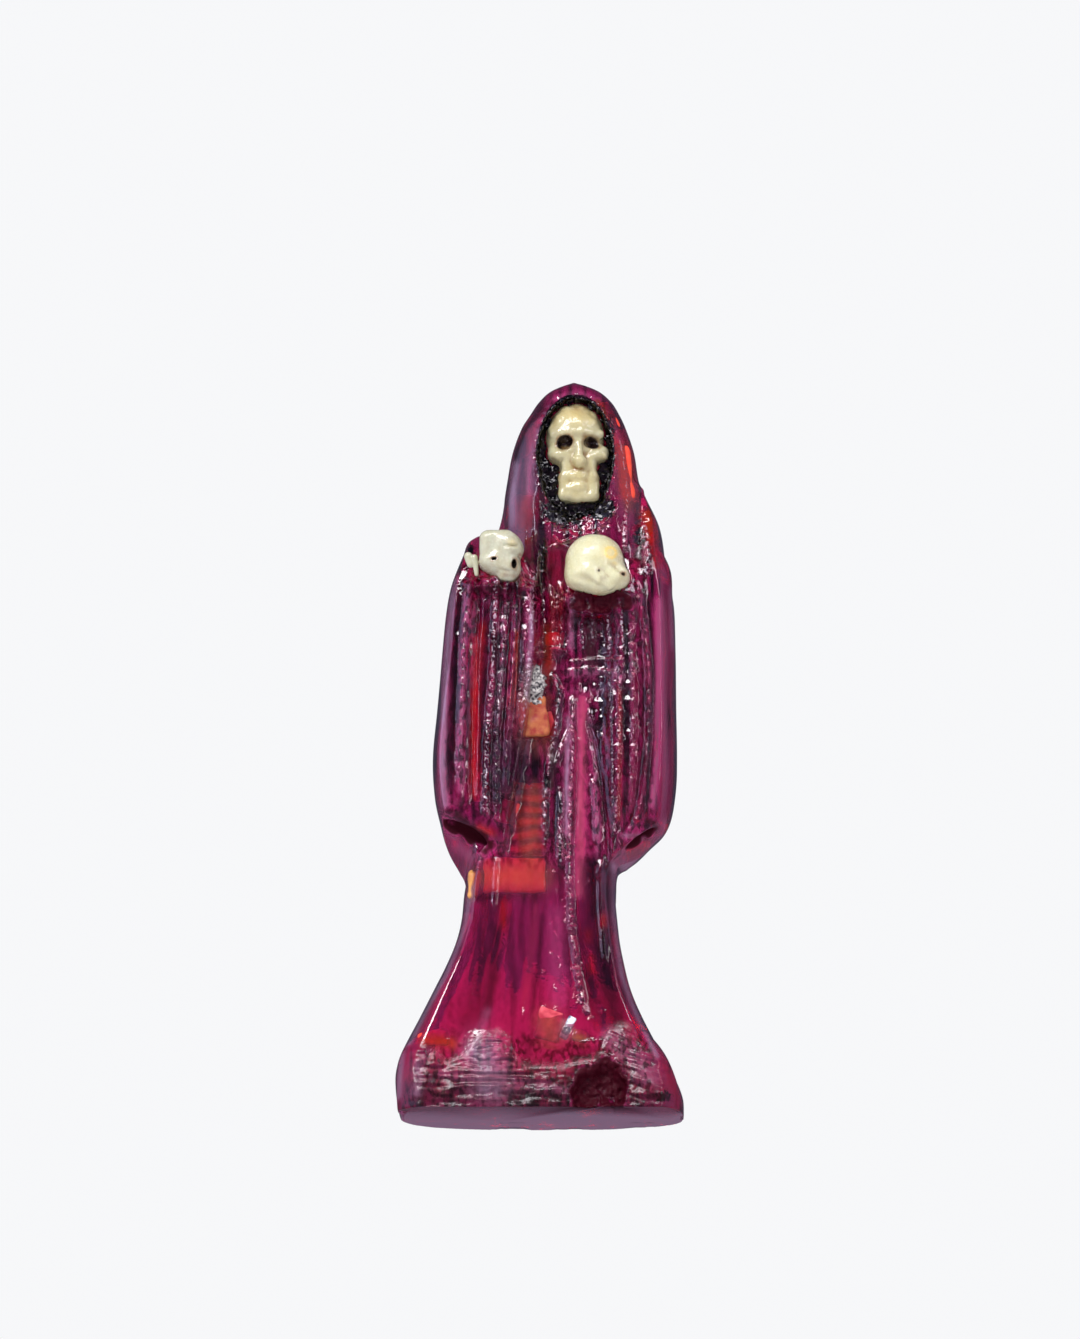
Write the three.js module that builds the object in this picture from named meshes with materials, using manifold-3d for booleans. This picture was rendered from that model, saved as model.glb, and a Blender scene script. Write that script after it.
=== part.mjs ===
// A hooded, robed skeleton figure, cast in clear dark red resin, that holds a small skull in each hand.
// Its face and the two small skulls are separate ivory-coloured casts, set into the resin.
//
// X runs to the viewer's right, Y away from the viewer and Z up, in millimetres. The figure faces -Y.
// Left and right are the viewer's. The origin is at the middle of the flat underside.
//
// The figure is a free form, so its shape is drawn in shares: hundredths of its height.
// Each part of it is a distance function of a point in shares: negative inside, positive outside.
// The drawing is then stretched to the width, depth and height below.

import * as THREE from "three";
import { mergeVertices } from "three/addons/utils/BufferGeometryUtils.js";
import Module from "manifold-3d";

// Driving sizes, in millimetres
const HEIGHT = 100; // underside to the top of the hood
const WIDTH = 38.8; // across the hem, the widest place
const DEPTH = 26.2; // from the front of the hem to its back
const SEAT_GAP = 0.3; // all round an ivory piece, between it and the resin it is set in

const DRAWN = { width: 39.48, depth: 26.2, height: 100 }; // what the shapes below span, in shares
const SHARE = new THREE.Vector3(WIDTH / DRAWN.width, DEPTH / DRAWN.depth, HEIGHT / DRAWN.height); // in mm

const wasm = await Module();
wasm.setup();

// Smooth curve through [height, value] knots, level beyond both ends.
function profile(knots) {
  const slope = knots.map((_, i) => {
    const a = knots[Math.max(i - 1, 0)];
    const b = knots[Math.min(i + 1, knots.length - 1)];
    return (b[1] - a[1]) / (b[0] - a[0]);
  });
  return (z) => {
    if (z <= knots[0][0]) return knots[0][1];
    if (z >= knots.at(-1)[0]) return knots.at(-1)[1];
    const i = knots.findIndex((k) => k[0] > z) - 1;
    const span = knots[i + 1][0] - knots[i][0];
    const t = (z - knots[i][0]) / span;
    const rise = t * t * (3 - 2 * t);
    return (
      knots[i][1] * (1 - rise) +
      knots[i + 1][1] * rise +
      span * (slope[i] * t * (1 - t) ** 2 - slope[i + 1] * t * t * (1 - t))
    );
  };
}

const ramp = (low, high, x) => {
  const t = Math.min(Math.max((x - low) / (high - low), 0), 1);
  return t * t * (3 - 2 * t);
};

// Union and cut with a rounded seam as wide as blend.
const join = (a, b, blend) =>
  Math.min(a, b) - Math.max(blend - Math.abs(a - b), 0) ** 2 / (4 * blend);
const cut = (a, b, blend) => -join(-a, b, blend);

const ellipsoid = ([x, y, z], [cx, cy, cz], [rx, ry, rz]) =>
  (Math.hypot((x - cx) / rx, (y - cy) / ry, (z - cz) / rz) - 1) * Math.min(rx, ry, rz);

// Box from its middle, half sizes and corner radius
function block([x, y, z], [cx, cy, cz], [hx, hy, hz], round) {
  const over = [Math.abs(x - cx) - hx + round, Math.abs(y - cy) - hy + round, Math.abs(z - cz) - hz + round];
  return Math.hypot(...over.map((v) => Math.max(v, 0))) + Math.min(Math.max(...over), 0) - round;
}

// Rod with round ends, from a to b, tapering from radius ra to rb.
function rod([x, y, z], a, b, ra, rb) {
  const ab = b.map((v, i) => v - a[i]);
  const ap = [x - a[0], y - a[1], z - a[2]];
  const along = ap.reduce((s, v, i) => s + v * ab[i], 0) / ab.reduce((s, v) => s + v * v, 0);
  const t = Math.min(Math.max(along, 0), 1);
  return Math.hypot(...ap.map((v, i) => v - ab[i] * t)) - (ra + (rb - ra) * t);
}

// Round-cornered column: its left, right, front and back walls each follow a profile up the height.
// pleats(s, z, deep) is how far the cloth stands out, s of the way from the left wall to the right;
// deep runs from -1 at the front wall to 1 at the back.
function column([x, y, z], { bottom, top, left, right, front, back, power, pleats }) {
  const halfWidth = (right(z) - left(z)) / 2;
  const halfDepth = (back(z) - front(z)) / 2;
  const across = (x - (left(z) + right(z)) / 2) / halfWidth;
  const deep = (y - (front(z) + back(z)) / 2) / halfDepth;
  const size = (Math.abs(across) ** power + Math.abs(deep) ** power) ** (1 / power);
  const wall = (size - 1) * Math.min(halfWidth, halfDepth);
  const s = Math.min(Math.max((across + 1) / 2, 0), 1);
  return Math.max(wall - pleats(s, z, deep), bottom - z, z - top);
}

// Row of upright pleats: count ridges between two shares of the width, which fade out at both edges.
function pleatRow(s, from, to, count, height) {
  if (s <= from || s >= to) return 0;
  const t = (s - from) / (to - from);
  const edge = ramp(0, 0.5 / count, t) * ramp(0, 0.5 / count, 1 - t);
  return height * edge * (Math.abs(Math.sin(Math.PI * count * t)) ** 0.8 - 0.6);
}

const onFront = (deep) => ramp(-0.1, -0.55, deep);
const onBack = (deep) => ramp(0.1, 0.55, deep);

// The gown, from the spread hem up to the throat
const gown = {
  bottom: 0,
  top: 84,
  power: 2.6,
  left: profile([
    [0, -19.3], [2, -19.7], [5, -19.8], [8.7, -18.6], [13.7, -16], [17, -14.2], [20.3, -12.6],
    [23.6, -11.3], [27, -10.6], [31, -10.3], [38, -9], [50, -6.5], [66, -4], [84, -2],
  ]),
  right: profile([
    [0, 19.6], [2.4, 19.5], [5.4, 18.3], [8.7, 16.2], [13.7, 13.5], [17, 12.1], [20.3, 11.3],
    [25, 10.6], [31, 10.3], [38, 11], [50, 12.5], [66, 13.6], [84, 11.5],
  ]),
  front: profile([
    [0, -13], [3, -12.8], [9, -11.2], [14, -9.5], [19, -8.5], [25, -7.9], [32, -7.6], [50, -7.2],
    [64, -6.8], [74, -6.2], [80, -5], [84, -4],
  ]),
  back: profile([
    [0, 13], [4, 12.7], [10, 11.4], [18, 10], [26, 9.2], [34, 9], [50, 9], [84, 8],
  ]),
  pleats: (s, z, deep) =>
    onFront(deep) * pleatRow(s, 0.08, 0.92, 6, 0.8 * ramp(4, 14, z) * ramp(80, 62, z)) +
    onBack(deep) * pleatRow(s, 0.06, 0.94, 6, 0.8 * ramp(1, 8, z) * ramp(40, 26, z)),
};

// The mantle over the head, down to the shoulders
const hood = {
  bottom: 62,
  top: 100,
  power: 2.2,
  left: profile([
    [62, -2.5], [72, -4.6], [80, -5.1], [83.2, -5], [86.5, -4.4], [89.8, -3.7], [93.1, -2.7],
    [94.8, -1.9], [96.4, -0.9], [98.1, 0.6], [99.2, 2.2], [100, 3.8],
  ]),
  right: profile([
    [62, 14.5], [72, 15.2], [80, 14.9], [83.2, 14.3], [86.5, 13.5], [89.8, 12.8], [93.1, 11.9],
    [94.8, 11.2], [96.4, 10.3], [98.1, 8.8], [99.2, 7], [100, 5.4],
  ]),
  front: profile([[62, -5.5], [76, -7], [84, -7.9], [91, -7.8], [95, -6.4], [98, -3.8], [100, -0.6]]),
  back: profile([[62, 8.6], [76, 9], [86, 8.8], [92, 7.6], [96, 5.8], [98.5, 3.6], [100, 1.4]]),
  pleats: (s, z, deep) =>
    onFront(deep) * pleatRow(s, 0.02, 0.98, 6, 0.5 * ramp(95, 86, z)) +
    onBack(deep) * pleatRow(s, 0.1, 0.9, 4, 0.45 * ramp(96, 84, z)),
};

// The cape that hangs from the shoulders behind the sleeves
const cape = {
  bottom: 33.5,
  top: 84,
  power: 2.8,
  left: profile([[33.5, -8.6], [38, -10.2], [50, -11], [66, -10.2], [74, -8.6], [80, -6], [84, -3.5]]),
  right: profile([[33.5, 12.6], [38, 14.6], [50, 16.2], [66, 16.4], [76, 16], [80, 15], [84, 12.5]]),
  front: profile([[33.5, -2], [84, -1]]),
  back: profile([[33.5, 9.2], [38, 10], [50, 10.4], [66, 10.2], [78, 9.6], [84, 8.4]]),
  pleats: (s, z, deep) =>
    onBack(deep) * pleatRow(s, 0.06, 0.94, 7, 0.7 * ramp(78, 64, z)),
};

// Slanting plane that a sleeve ends at: its height over a point, from the front hem's two ends.
// It falls toward the back, so the sleeve's open end faces forward and down.
function hemPlane({ front, left, right, fall }) {
  const slope = (right[1] - left[1]) / (right[0] - left[0]);
  return (x, y) => left[1] + slope * (x - left[0]) - fall * (y - front);
}

// The wide sleeve on the left, whose hand is held out to the side
const leftSleeve = {
  bottom: 30,
  top: 79,
  power: 2.6,
  left: profile([
    [30, -9], [32, -10.4], [33.5, -12], [36.8, -13.3], [40, -13.9], [43.4, -14.4], [48.4, -14.7],
    [55, -14.2], [62, -13.5], [68, -12.9], [72, -12.2], [74.9, -11.2], [76.6, -10.4], [78.2, -9.2],
    [79, -8],
  ]),
  right: profile([[30, -6.5], [36, -4.6], [42, -3.2], [52, -1.2], [62, 0.3], [68, 0], [73, -1.6], [79, -5]]),
  front: profile([[30, -7.4], [38, -8.8], [46, -9.2], [56, -9.4], [66, -9.3], [73, -8.4], [77, -6], [79, -3]]),
  back: profile([[30, 3], [34, 4.4], [38, 5.8], [46, 6.6], [56, 7], [66, 6.6], [73, 5.4], [79, 2.8]]),
  pleats: (s, z, deep) =>
    onFront(deep) * pleatRow(s, 0.17, 1, 4, 0.85 * ramp(35, 42, z) * ramp(76, 68, z)),
};
const leftHem = hemPlane({ front: -8.7, left: [-12.5, 40.2], right: [-6, 37], fall: 0.52 });

// The sleeve on the right, whose hand is bent in front of the chest
const rightSleeve = {
  bottom: 30,
  top: 85,
  power: 2.3,
  left: profile([[30, 9.4], [36, 8.6], [46, 8.2], [60, 8.4], [72, 9.2], [80, 10.8], [85, 12]]),
  right: profile([
    [30, 10.6], [32, 12], [33.5, 13.4], [35.2, 14.9], [36.8, 16.3], [38.5, 17.4], [41.8, 18.3],
    [46, 18.8], [60, 18.8], [69.9, 18.6], [73.2, 18.2], [76.6, 17.5], [79.9, 16.7], [82, 15.8],
    [85, 13.8],
  ]),
  front: profile([[30, -7], [38, -8], [46, -8.7], [60, -8.9], [70, -8.5], [77, -7], [82, -4.6], [85, -2.5]]),
  back: profile([[30, 3], [34, 4.8], [38, 6], [46, 7.2], [60, 8], [74, 8], [82, 6.5], [85, 4]]),
  pleats: (s, z, deep) =>
    onFront(deep) * pleatRow(s, 0.12, 0.62, 2, 0.7 * ramp(35, 42, z) * ramp(80, 70, z)),
};
const rightHem = hemPlane({ front: -8.5, left: [11, 35.9], right: [17.5, 40.5], fall: 0.33 });

// Cupped hands, each under its skull, with the forearm of the right-hand one
const leftPalm = { centre: [-6, -8.2, 70.9], radii: [4.4, 3.6, 2.4] };
const rightPalm = { centre: [7.8, -8, 68.9], radii: [5.2, 3.6, 2.6] };
const rightForearm = { from: [15.2, -3.5, 73.4], to: [10.5, -6.5, 69.9], radius: 3.4 };

// The opening of the hood around the face, and the throat below it
const faceRecess = { centre: [5, -9.6, 89.7], radii: [5.6, 6.2, 8.1] };
const throat = { centre: [5.6, -9.6, 80], radii: [5.2, 3.9, 5.6] };

// Low folds of the hem, spread on the ground, and the niche between two of them
const hemFolds = [
  { centre: [-16, -7.6, 1.5], radii: [3.4, 4.6, 7.4] },
  { centre: [-7.6, -9.4, 0.5], radii: [6.2, 3.5, 8.8] },
  { centre: [1.8, -9.6, 0], radii: [5.6, 3.3, 5.4] },
  { centre: [14.6, -7.6, 0.5], radii: [4.2, 4.8, 9] },
];
const niche = { centre: [8.6, -13.4, 3.6], radii: [3.4, 2.4, 3.4] };

function resinShape(p) {
  const [x, y, z] = p;
  let d = column(p, gown);
  d = join(d, column(p, cape), 1.2);
  d = join(d, column(p, hood), 1.5);
  for (const fold of hemFolds) d = join(d, ellipsoid(p, fold.centre, fold.radii), 1);
  d = join(d, rod(p, rightForearm.from, rightForearm.to, rightForearm.radius, rightForearm.radius), 1.5);
  d = join(d, Math.max(column(p, leftSleeve), (leftHem(x, y) - z) * 0.85), 2);
  d = join(d, Math.max(column(p, rightSleeve), (rightHem(x, y) - z) * 0.75), 2.4);
  for (const palm of [leftPalm, rightPalm]) d = join(d, ellipsoid(p, palm.centre, palm.radii), 1);
  d = cut(d, ellipsoid(p, faceRecess.centre, faceRecess.radii), 0.5);
  d = cut(d, ellipsoid(p, throat.centre, throat.radii), 1.2);
  return cut(d, ellipsoid(p, niche.centre, niche.radii), 0.5);
}

// Hollows inside the open sleeve ends, up behind the front hem: stretched balls, tilted along it
const sleeveHollows = [
  { centre: [-9.2, -6.6, 38.4], radii: [3.9, 1.5, 2.9], tilt: 0.42 },
  { centre: [13.9, -5.6, 37.5], radii: [2.4, 1.4, 2.4], tilt: -0.6 },
];

// The three ivory shapes have origins of their own, inside them, with X, Y and Z as in the figure.

// The face: a flat-backed skull mask, with its origin between the eyes
function faceShape(p) {
  const [, y] = p;
  let d = ellipsoid(p, [-0.1, 0.5, 1.4], [4.2, 2.9, 4.8]); // cranium
  d = join(d, block(p, [0.1, -0.2, -4.4], [3, 2.1, 3], 1.1), 0.6); // jaws
  for (const side of [-1, 1]) {
    d = join(d, ellipsoid(p, [side * 2.9, 0, -1.2], [1.4, 1.7, 1.3]), 0.9); // cheekbone
  }
  d = join(d, ellipsoid(p, [0.1, -1.8, 1.9], [3, 0.7, 0.7]), 0.8); // brow
  d = join(d, rod(p, [0.1, -2, 1], [0.2, -2.7, -2], 0.45, 0.75), 0.5); // nose
  for (const side of [-1, 1]) {
    d = cut(d, ellipsoid(p, [side * 1.98, -2.9, 0.7], [1.15, 1.9, 0.98]), 0.35); // eye socket
  }
  d = cut(d, rod(p, [-1.6, -2.7, -4.3], [1.8, -2.7, -4.3], 0.35, 0.35), 0.3); // mouth
  return Math.max(d, y - 2.4);
}

// The skull on the left hand faces right and down; the thumb that holds it is cast with it.
function leftSkullShape(p) {
  let d = block(p, [-0.5, 0.5, 0.8], [2.6, 3, 3.1], 1.8); // cranium
  d = join(d, ellipsoid(p, [1.2, -0.8, -1], [1.9, 2.4, 2.3]), 0.8); // face
  d = join(d, rod(p, [-0.2, -1.6, -2.7], [2, -1.2, -2.8], 0.8, 0.7), 0.5); // jaw
  d = join(d, rod(p, [-4.2, 0, 0], [-3.8, -0.4, -1.6], 0.95, 0.8), 0.3); // thumb
  d = cut(d, ellipsoid(p, [1.8, -3.2, -1.4], [0.7, 1.1, 0.8]), 0.25); // eye socket
  return cut(d, ellipsoid(p, [-0.8, -2.8, -0.7], [0.5, 0.8, 0.5]), 0.2); // ear hole
}

// The skull on the right hand bows its face down and to the right, so that mostly its crown shows.
function rightSkullShape(p) {
  let d = ellipsoid(p, [-0.4, 0.3, 0.5], [4.1, 4, 3.9]); // cranium
  d = join(d, ellipsoid(p, [1.5, -1.2, -2.2], [3, 2.5, 2.2]), 1); // face
  d = join(d, ellipsoid(p, [3.3, -1.2, -1], [1.3, 1.7, 1.6]), 0.6); // cheekbone
  d = cut(d, rod(p, [-0.3, -3.8, 0.2], [2.2, -3.4, -3], 0.4, 0.4), 0.5); // brow crease
  return cut(d, ellipsoid(p, [3.6, -2.9, -1.6], [0.6, 1, 0.6]), 0.2); // eye socket
}

// How far out along a ray from inside the shape its outermost surface lies.
// The ray is walked inwards in steps that the distance allows, then halved around the crossing.
function reach(shape, origin, direction, far) {
  const at = (t) => shape(origin.map((v, i) => v + direction[i] * t));
  let outer = far;
  let inner = far;
  while (inner > 0) {
    const clear = at(inner);
    if (clear <= 0) break;
    outer = inner;
    inner = Math.max(inner - Math.max(clear * 0.8, 0.15), 0);
  }
  for (let i = 0; i < 12; i++) {
    const middle = (inner + outer) / 2;
    if (at(middle) > 0) outer = middle;
    else inner = middle;
  }
  return inner;
}

// Moves each vertex of a geometry to a place worked out from where it was, both in shares.
function reshape(geometry, place) {
  const position = geometry.getAttribute("position");
  const vertex = new THREE.Vector3();
  for (let i = 0; i < position.count; i++) {
    vertex.fromBufferAttribute(position, i);
    vertex.set(...place(vertex.x, vertex.y, vertex.z)).multiply(SHARE);
    position.setXYZ(i, vertex.x, vertex.y, vertex.z);
  }
  return geometry;
}

// The figure's rows are closer together where the carving changes fast.
const rowHeight = profile([
  [0, 0], [0.15, 10], [0.25, 28], [0.45, 43], [0.56, 67], [0.68, 80], [0.94, 98], [1, 100],
]);
const middle = {
  x: profile([[0, 0], [30, 0.2], [50, 2.4], [75, 4.6], [100, 4.7]]),
  y: profile([[0, 0], [60, 0.4], [86, 2.6], [100, 0.6]]),
};

// The resin figure: an upright cylinder whose wall is moved to the carved surface.
// Two thirds of its segments are on the front half, where the carving is.
function resinGeometry() {
  const SEGMENTS = 70;
  const ROWS = 40;
  const FRONT_SHARE = 2 / 3;
  const DEPTH_TO_WIDTH = 0.62; // evens the segments out along a section wider than it is deep
  const cylinder = new THREE.CylinderGeometry(1, 1, 1, SEGMENTS, ROWS).rotateX(Math.PI / 2);
  return reshape(cylinder, (x, y, rise) => {
    const z = rowHeight(rise + 0.5);
    const centre = [middle.x(z), middle.y(z), z];
    if (Math.hypot(x, y) < 0.5) return centre;
    const fromFront = Math.atan2(x, -y) / Math.PI; // 0 at the front, 1 and -1 at the back
    const spread = Math.abs(fromFront);
    const quarters =
      spread < FRONT_SHARE ? spread / FRONT_SHARE : 1 + (spread - FRONT_SHARE) / (1 - FRONT_SHARE);
    const angle = (quarters * Math.PI) / 2;
    const direction = [Math.sin(angle) * Math.sign(fromFront), -Math.cos(angle) * DEPTH_TO_WIDTH, 0];
    const t = reach(resinShape, centre, direction, 26);
    return centre.map((v, i) => v + direction[i] * t);
  });
}

// A small piece: a ball, with its poles at the chin and crown, whose skin is moved to the shape.
function pieceGeometry(shape, widthSegments, heightSegments) {
  const ball = new THREE.SphereGeometry(1, widthSegments, heightSegments).rotateX(Math.PI / 2);
  return reshape(ball, (...ray) => {
    const t = reach(shape, [0, 0, 0], ray, 12);
    return ray.map((v) => v * t);
  });
}

// A sleeve end's hollow
function hollowGeometry({ centre, radii, tilt }) {
  return new THREE.SphereGeometry(1, 14, 10)
    .scale(...radii)
    .rotateY(tilt)
    .translate(...centre)
    .scale(...SHARE);
}

function toSolid(geometry) {
  const bare = geometry.clone();
  bare.deleteAttribute("normal");
  bare.deleteAttribute("uv");
  const merged = mergeVertices(bare, 1e-4);
  return new wasm.Manifold(
    new wasm.Mesh({
      numProp: 3,
      vertProperties: merged.getAttribute("position").array,
      triVerts: new Uint32Array(merged.index.array),
    }),
  );
}

function toGeometry(solid) {
  const mesh = solid.getMesh();
  const geometry = new THREE.BufferGeometry();
  geometry.setAttribute("position", new THREE.BufferAttribute(mesh.vertProperties, 3));
  geometry.setIndex(new THREE.BufferAttribute(mesh.triVerts, 1));
  return geometry;
}

const resin = new THREE.MeshStandardMaterial({ color: 0x6a1232, roughness: 0.18, metalness: 0 });
const ivory = new THREE.MeshStandardMaterial({ color: 0xe6dfbc, roughness: 0.35, metalness: 0 });

// The ivory pieces; segments are round the piece and from pole to pole.
const ivoryPieces = [
  { name: "face_skull", shape: faceShape, centre: [5.2, -4.9, 90.4], segments: [28, 20] },
  { name: "left_skull", shape: leftSkullShape, centre: [-5.5, -9.2, 75.2], segments: [20, 14] },
  { name: "right_skull", shape: rightSkullShape, centre: [7.75, -8.8, 74.2], segments: [20, 14] },
];

function ivoryMesh({ name, shape, centre, segments }) {
  const mesh = new THREE.Mesh(toGeometry(toSolid(pieceGeometry(shape, ...segments))), ivory);
  mesh.name = name;
  mesh.position.set(...centre).multiply(SHARE);
  return mesh;
}

// The seat of a piece in the resin: the piece's own shape, grown by the gap
function seatSolid({ shape, centre, segments }) {
  const grown = (p) => shape(p) - SEAT_GAP / SHARE.x;
  const place = new THREE.Vector3(...centre).multiply(SHARE);
  return toSolid(pieceGeometry(grown, ...segments).translate(place.x, place.y, place.z));
}

function resinMesh() {
  let solid = toSolid(resinGeometry());
  for (const hollow of sleeveHollows) solid = solid.subtract(toSolid(hollowGeometry(hollow)));
  for (const piece of ivoryPieces) solid = solid.subtract(seatSolid(piece));
  const mesh = new THREE.Mesh(toGeometry(solid), resin);
  mesh.name = "resin_figure";
  return mesh;
}

const figure = new THREE.Group();
figure.add(resinMesh(), ...ivoryPieces.map(ivoryMesh));

export default figure;
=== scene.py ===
# A hooded, robed skeleton figure, cast in clear dark red resin, with an ivory skull face and two held
# skulls. Every length is a share, a hundredth of the figure's height, until a mesh is made, which is then
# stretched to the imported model's width and depth. Left and right are the viewer's.
# A shape is a distance function of a point (x, y, z): negative inside, positive outside.

import functools
import math
from typing import NamedTuple

import bpy
import numpy as np
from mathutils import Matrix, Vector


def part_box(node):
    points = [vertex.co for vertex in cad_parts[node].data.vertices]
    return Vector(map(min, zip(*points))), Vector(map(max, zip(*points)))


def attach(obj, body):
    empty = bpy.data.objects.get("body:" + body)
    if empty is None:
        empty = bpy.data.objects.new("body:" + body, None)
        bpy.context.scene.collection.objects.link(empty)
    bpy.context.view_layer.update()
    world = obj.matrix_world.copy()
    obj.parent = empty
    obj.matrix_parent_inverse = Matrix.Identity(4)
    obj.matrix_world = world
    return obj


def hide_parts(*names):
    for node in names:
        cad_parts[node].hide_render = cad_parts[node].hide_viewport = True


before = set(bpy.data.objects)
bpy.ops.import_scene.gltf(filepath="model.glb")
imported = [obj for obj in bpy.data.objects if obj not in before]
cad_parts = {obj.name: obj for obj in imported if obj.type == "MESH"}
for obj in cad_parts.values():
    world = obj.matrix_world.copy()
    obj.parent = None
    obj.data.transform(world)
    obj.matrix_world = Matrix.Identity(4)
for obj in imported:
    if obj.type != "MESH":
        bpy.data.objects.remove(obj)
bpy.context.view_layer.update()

DRAWN = (39.48, 26.2, 100)  # width, depth and height that the shapes span, in shares
figure_low, figure_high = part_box("resin_figure")
STRETCH = [(high - low) / span for low, high, span in zip(figure_low, figure_high, DRAWN)]
SHARE = STRETCH[2]  # in metres

FIGURE_STEP = 0.18  # spacing of the grid that the figure is carved on
SKULL_STEP = 0.11
SEAT_GAP = 0.06  # between an ivory piece and the resin round it
WIDEST, DEEPEST = 22, 15  # a little past the figure's sides, and past its front and back
FAR = 9.0  # the distance that an empty grid holds
MOST_TRIANGLES = 190_000
# The finely carved front keeps more of its triangles than the plain back: (from y, to y, how much to thin)
THINNING = [(-math.inf, -4, 0.1), (-4, 1, 0.5), (1, math.inf, 1)]
MOST_MOVE = 0.4  # of a grid cell, when a vertex is moved onto the surface
SHARP_ANGLE = math.radians(60)
FACING_DOWN = -0.97  # a face whose normal's z is below this is part of the flat underside


# Curves and noise

def profile(knots):
    """Smooth curve through (place, value) knots, level beyond both ends."""
    places, values = np.array(knots, dtype=float).T
    last = len(knots) - 1
    before, after = np.maximum(np.arange(last + 1) - 1, 0), np.minimum(np.arange(last + 1) + 1, last)
    slopes = (values[after] - values[before]) / (places[after] - places[before])

    def curve(place):
        place = np.clip(place, places[0], places[-1])
        i = np.clip(np.searchsorted(places, place, side="right") - 1, 0, last - 1)
        span = places[i + 1] - places[i]
        t = (place - places[i]) / span
        rise = t * t * (3 - 2 * t)
        bend = span * (slopes[i] * t * (1 - t) ** 2 - slopes[i + 1] * t * t * (1 - t))
        return (values[i] * (1 - rise) + values[i + 1] * rise + bend).astype(np.float32)

    return curve


def ramp(low, high, x):
    t = np.clip((x - low) / (high - low), 0, 1)
    return t * t * (3 - 2 * t)


def noise(u, v, seed):
    """Smooth value noise between -1 and 1, one bump to a unit."""
    table = np.random.default_rng(seed).uniform(-1, 1, (64, 64)).astype(np.float32)
    iu, iv = np.floor(u).astype(int), np.floor(v).astype(int)
    fu, fv = u - iu, v - iv
    su, sv = fu * fu * (3 - 2 * fu), fv * fv * (3 - 2 * fv)
    a, b = table[iu % 64, iv % 64], table[(iu + 1) % 64, iv % 64]
    c, d = table[iu % 64, (iv + 1) % 64], table[(iu + 1) % 64, (iv + 1) % 64]
    return (a * (1 - su) + b * su) * (1 - sv) + (c * (1 - su) + d * su) * sv


# Distance functions

class Shape(NamedTuple):
    """A distance function, with a box that holds everything it changes."""
    distance: object
    low: tuple
    high: tuple


def tilted(x, z, tilt):
    """x and z turned about the Y axis: a positive tilt lowers the right-hand end."""
    if not tilt:
        return x, z
    return x * math.cos(tilt) - z * math.sin(tilt), x * math.sin(tilt) + z * math.cos(tilt)


def box_round(centre, reach):
    return tuple(c - reach for c in centre), tuple(c + reach for c in centre)


def ellipsoid(centre, radii, tilt=0.0):
    def distance(x, y, z):
        u, w = tilted(x - centre[0], z - centre[2], tilt)
        v = y - centre[1]
        size = np.sqrt((u / radii[0]) ** 2 + (v / radii[1]) ** 2 + (w / radii[2]) ** 2)
        return (size - 1) * min(radii)
    return Shape(distance, *box_round(centre, max(radii)))


def cup(centre, across, up, floor):
    """An upright ellipse pressed straight into the front, down to its floor."""
    reach = max(across, up)

    def distance(x, y, z):
        round_it = (np.hypot((x - centre[0]) / across, (z - centre[1]) / up) - 1) * min(across, up)
        return -joined(-round_it, floor - y, 0.5)
    low = (centre[0] - reach, -DEEPEST, centre[1] - reach)
    return Shape(distance, low, (centre[0] + reach, floor + 1, centre[1] + reach))


def block(centre, half, corner, tilt=0.0):
    """Box with rounded corners and edges."""
    def distance(x, y, z):
        u, w = tilted(x - centre[0], z - centre[2], tilt)
        over = [np.abs(v) - h + corner for v, h in zip((u, y - centre[1], w), half)]
        outer = np.sqrt(sum(np.maximum(o, 0) ** 2 for o in over))
        inner = np.minimum(np.maximum(np.maximum(over[0], over[1]), over[2]), 0)
        return outer + inner - corner
    return Shape(distance, *box_round(centre, math.hypot(*half)))


def rod(a, b, ra, rb):
    """Rod with round ends, from a to b, tapering from radius ra to rb."""
    along = [q - p for p, q in zip(a, b)]
    squared = sum(v * v for v in along)

    def distance(x, y, z):
        t = np.clip(((x - a[0]) * along[0] + (y - a[1]) * along[1] + (z - a[2]) * along[2]) / squared, 0, 1)
        gap = [p - s - t * v for p, s, v in zip((x, y, z), a, along)]
        return np.sqrt(gap[0] ** 2 + gap[1] ** 2 + gap[2] ** 2) - (ra + (rb - ra) * t)

    wide = max(ra, rb)
    low = tuple(min(p, q) - wide for p, q in zip(a, b))
    high = tuple(max(p, q) + wide for p, q in zip(a, b))
    return Shape(distance, low, high)


class Clay:
    """A block of distances on a grid, that shapes are joined to and cut from."""

    def __init__(self, low, high, step):
        self.low, self.step = np.array(low, dtype=np.float32), step
        counts = [int(math.ceil((b - a) / step)) + 1 for a, b in zip(low, high)]
        self.axes = [a + step * np.arange(n, dtype=np.float32) for a, n in zip(low, counts)]
        self.field = np.full(counts, FAR, dtype=np.float32)

    def whole(self):
        """The grid's x, y and z, ready to broadcast."""
        return self.part([-math.inf] * 3, [math.inf] * 3)[1]

    def part(self, low, high):
        """The slices of the grid inside a box, and its x, y and z there, ready to broadcast."""
        slices, places = [], []
        for i, axis in enumerate(self.axes):
            a, b = np.searchsorted(axis, [low[i], high[i]])
            slices.append(slice(max(a - 1, 0), b + 1))
            places.append(axis[slices[-1]].reshape([-1 if i == j else 1 for j in range(3)]))
        return tuple(slices), places

    def part_near(self, shape, reach):
        return self.part([v - reach for v in shape.low], [v + reach for v in shape.high])

    def join(self, shape, blend):
        here, at = self.part_near(shape, blend)
        self.field[here] = joined(self.field[here], shape.distance(*at), blend)

    def cut(self, shape, blend):
        here, at = self.part_near(shape, blend)
        self.field[here] = -joined(-self.field[here], shape.distance(*at), blend)


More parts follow.
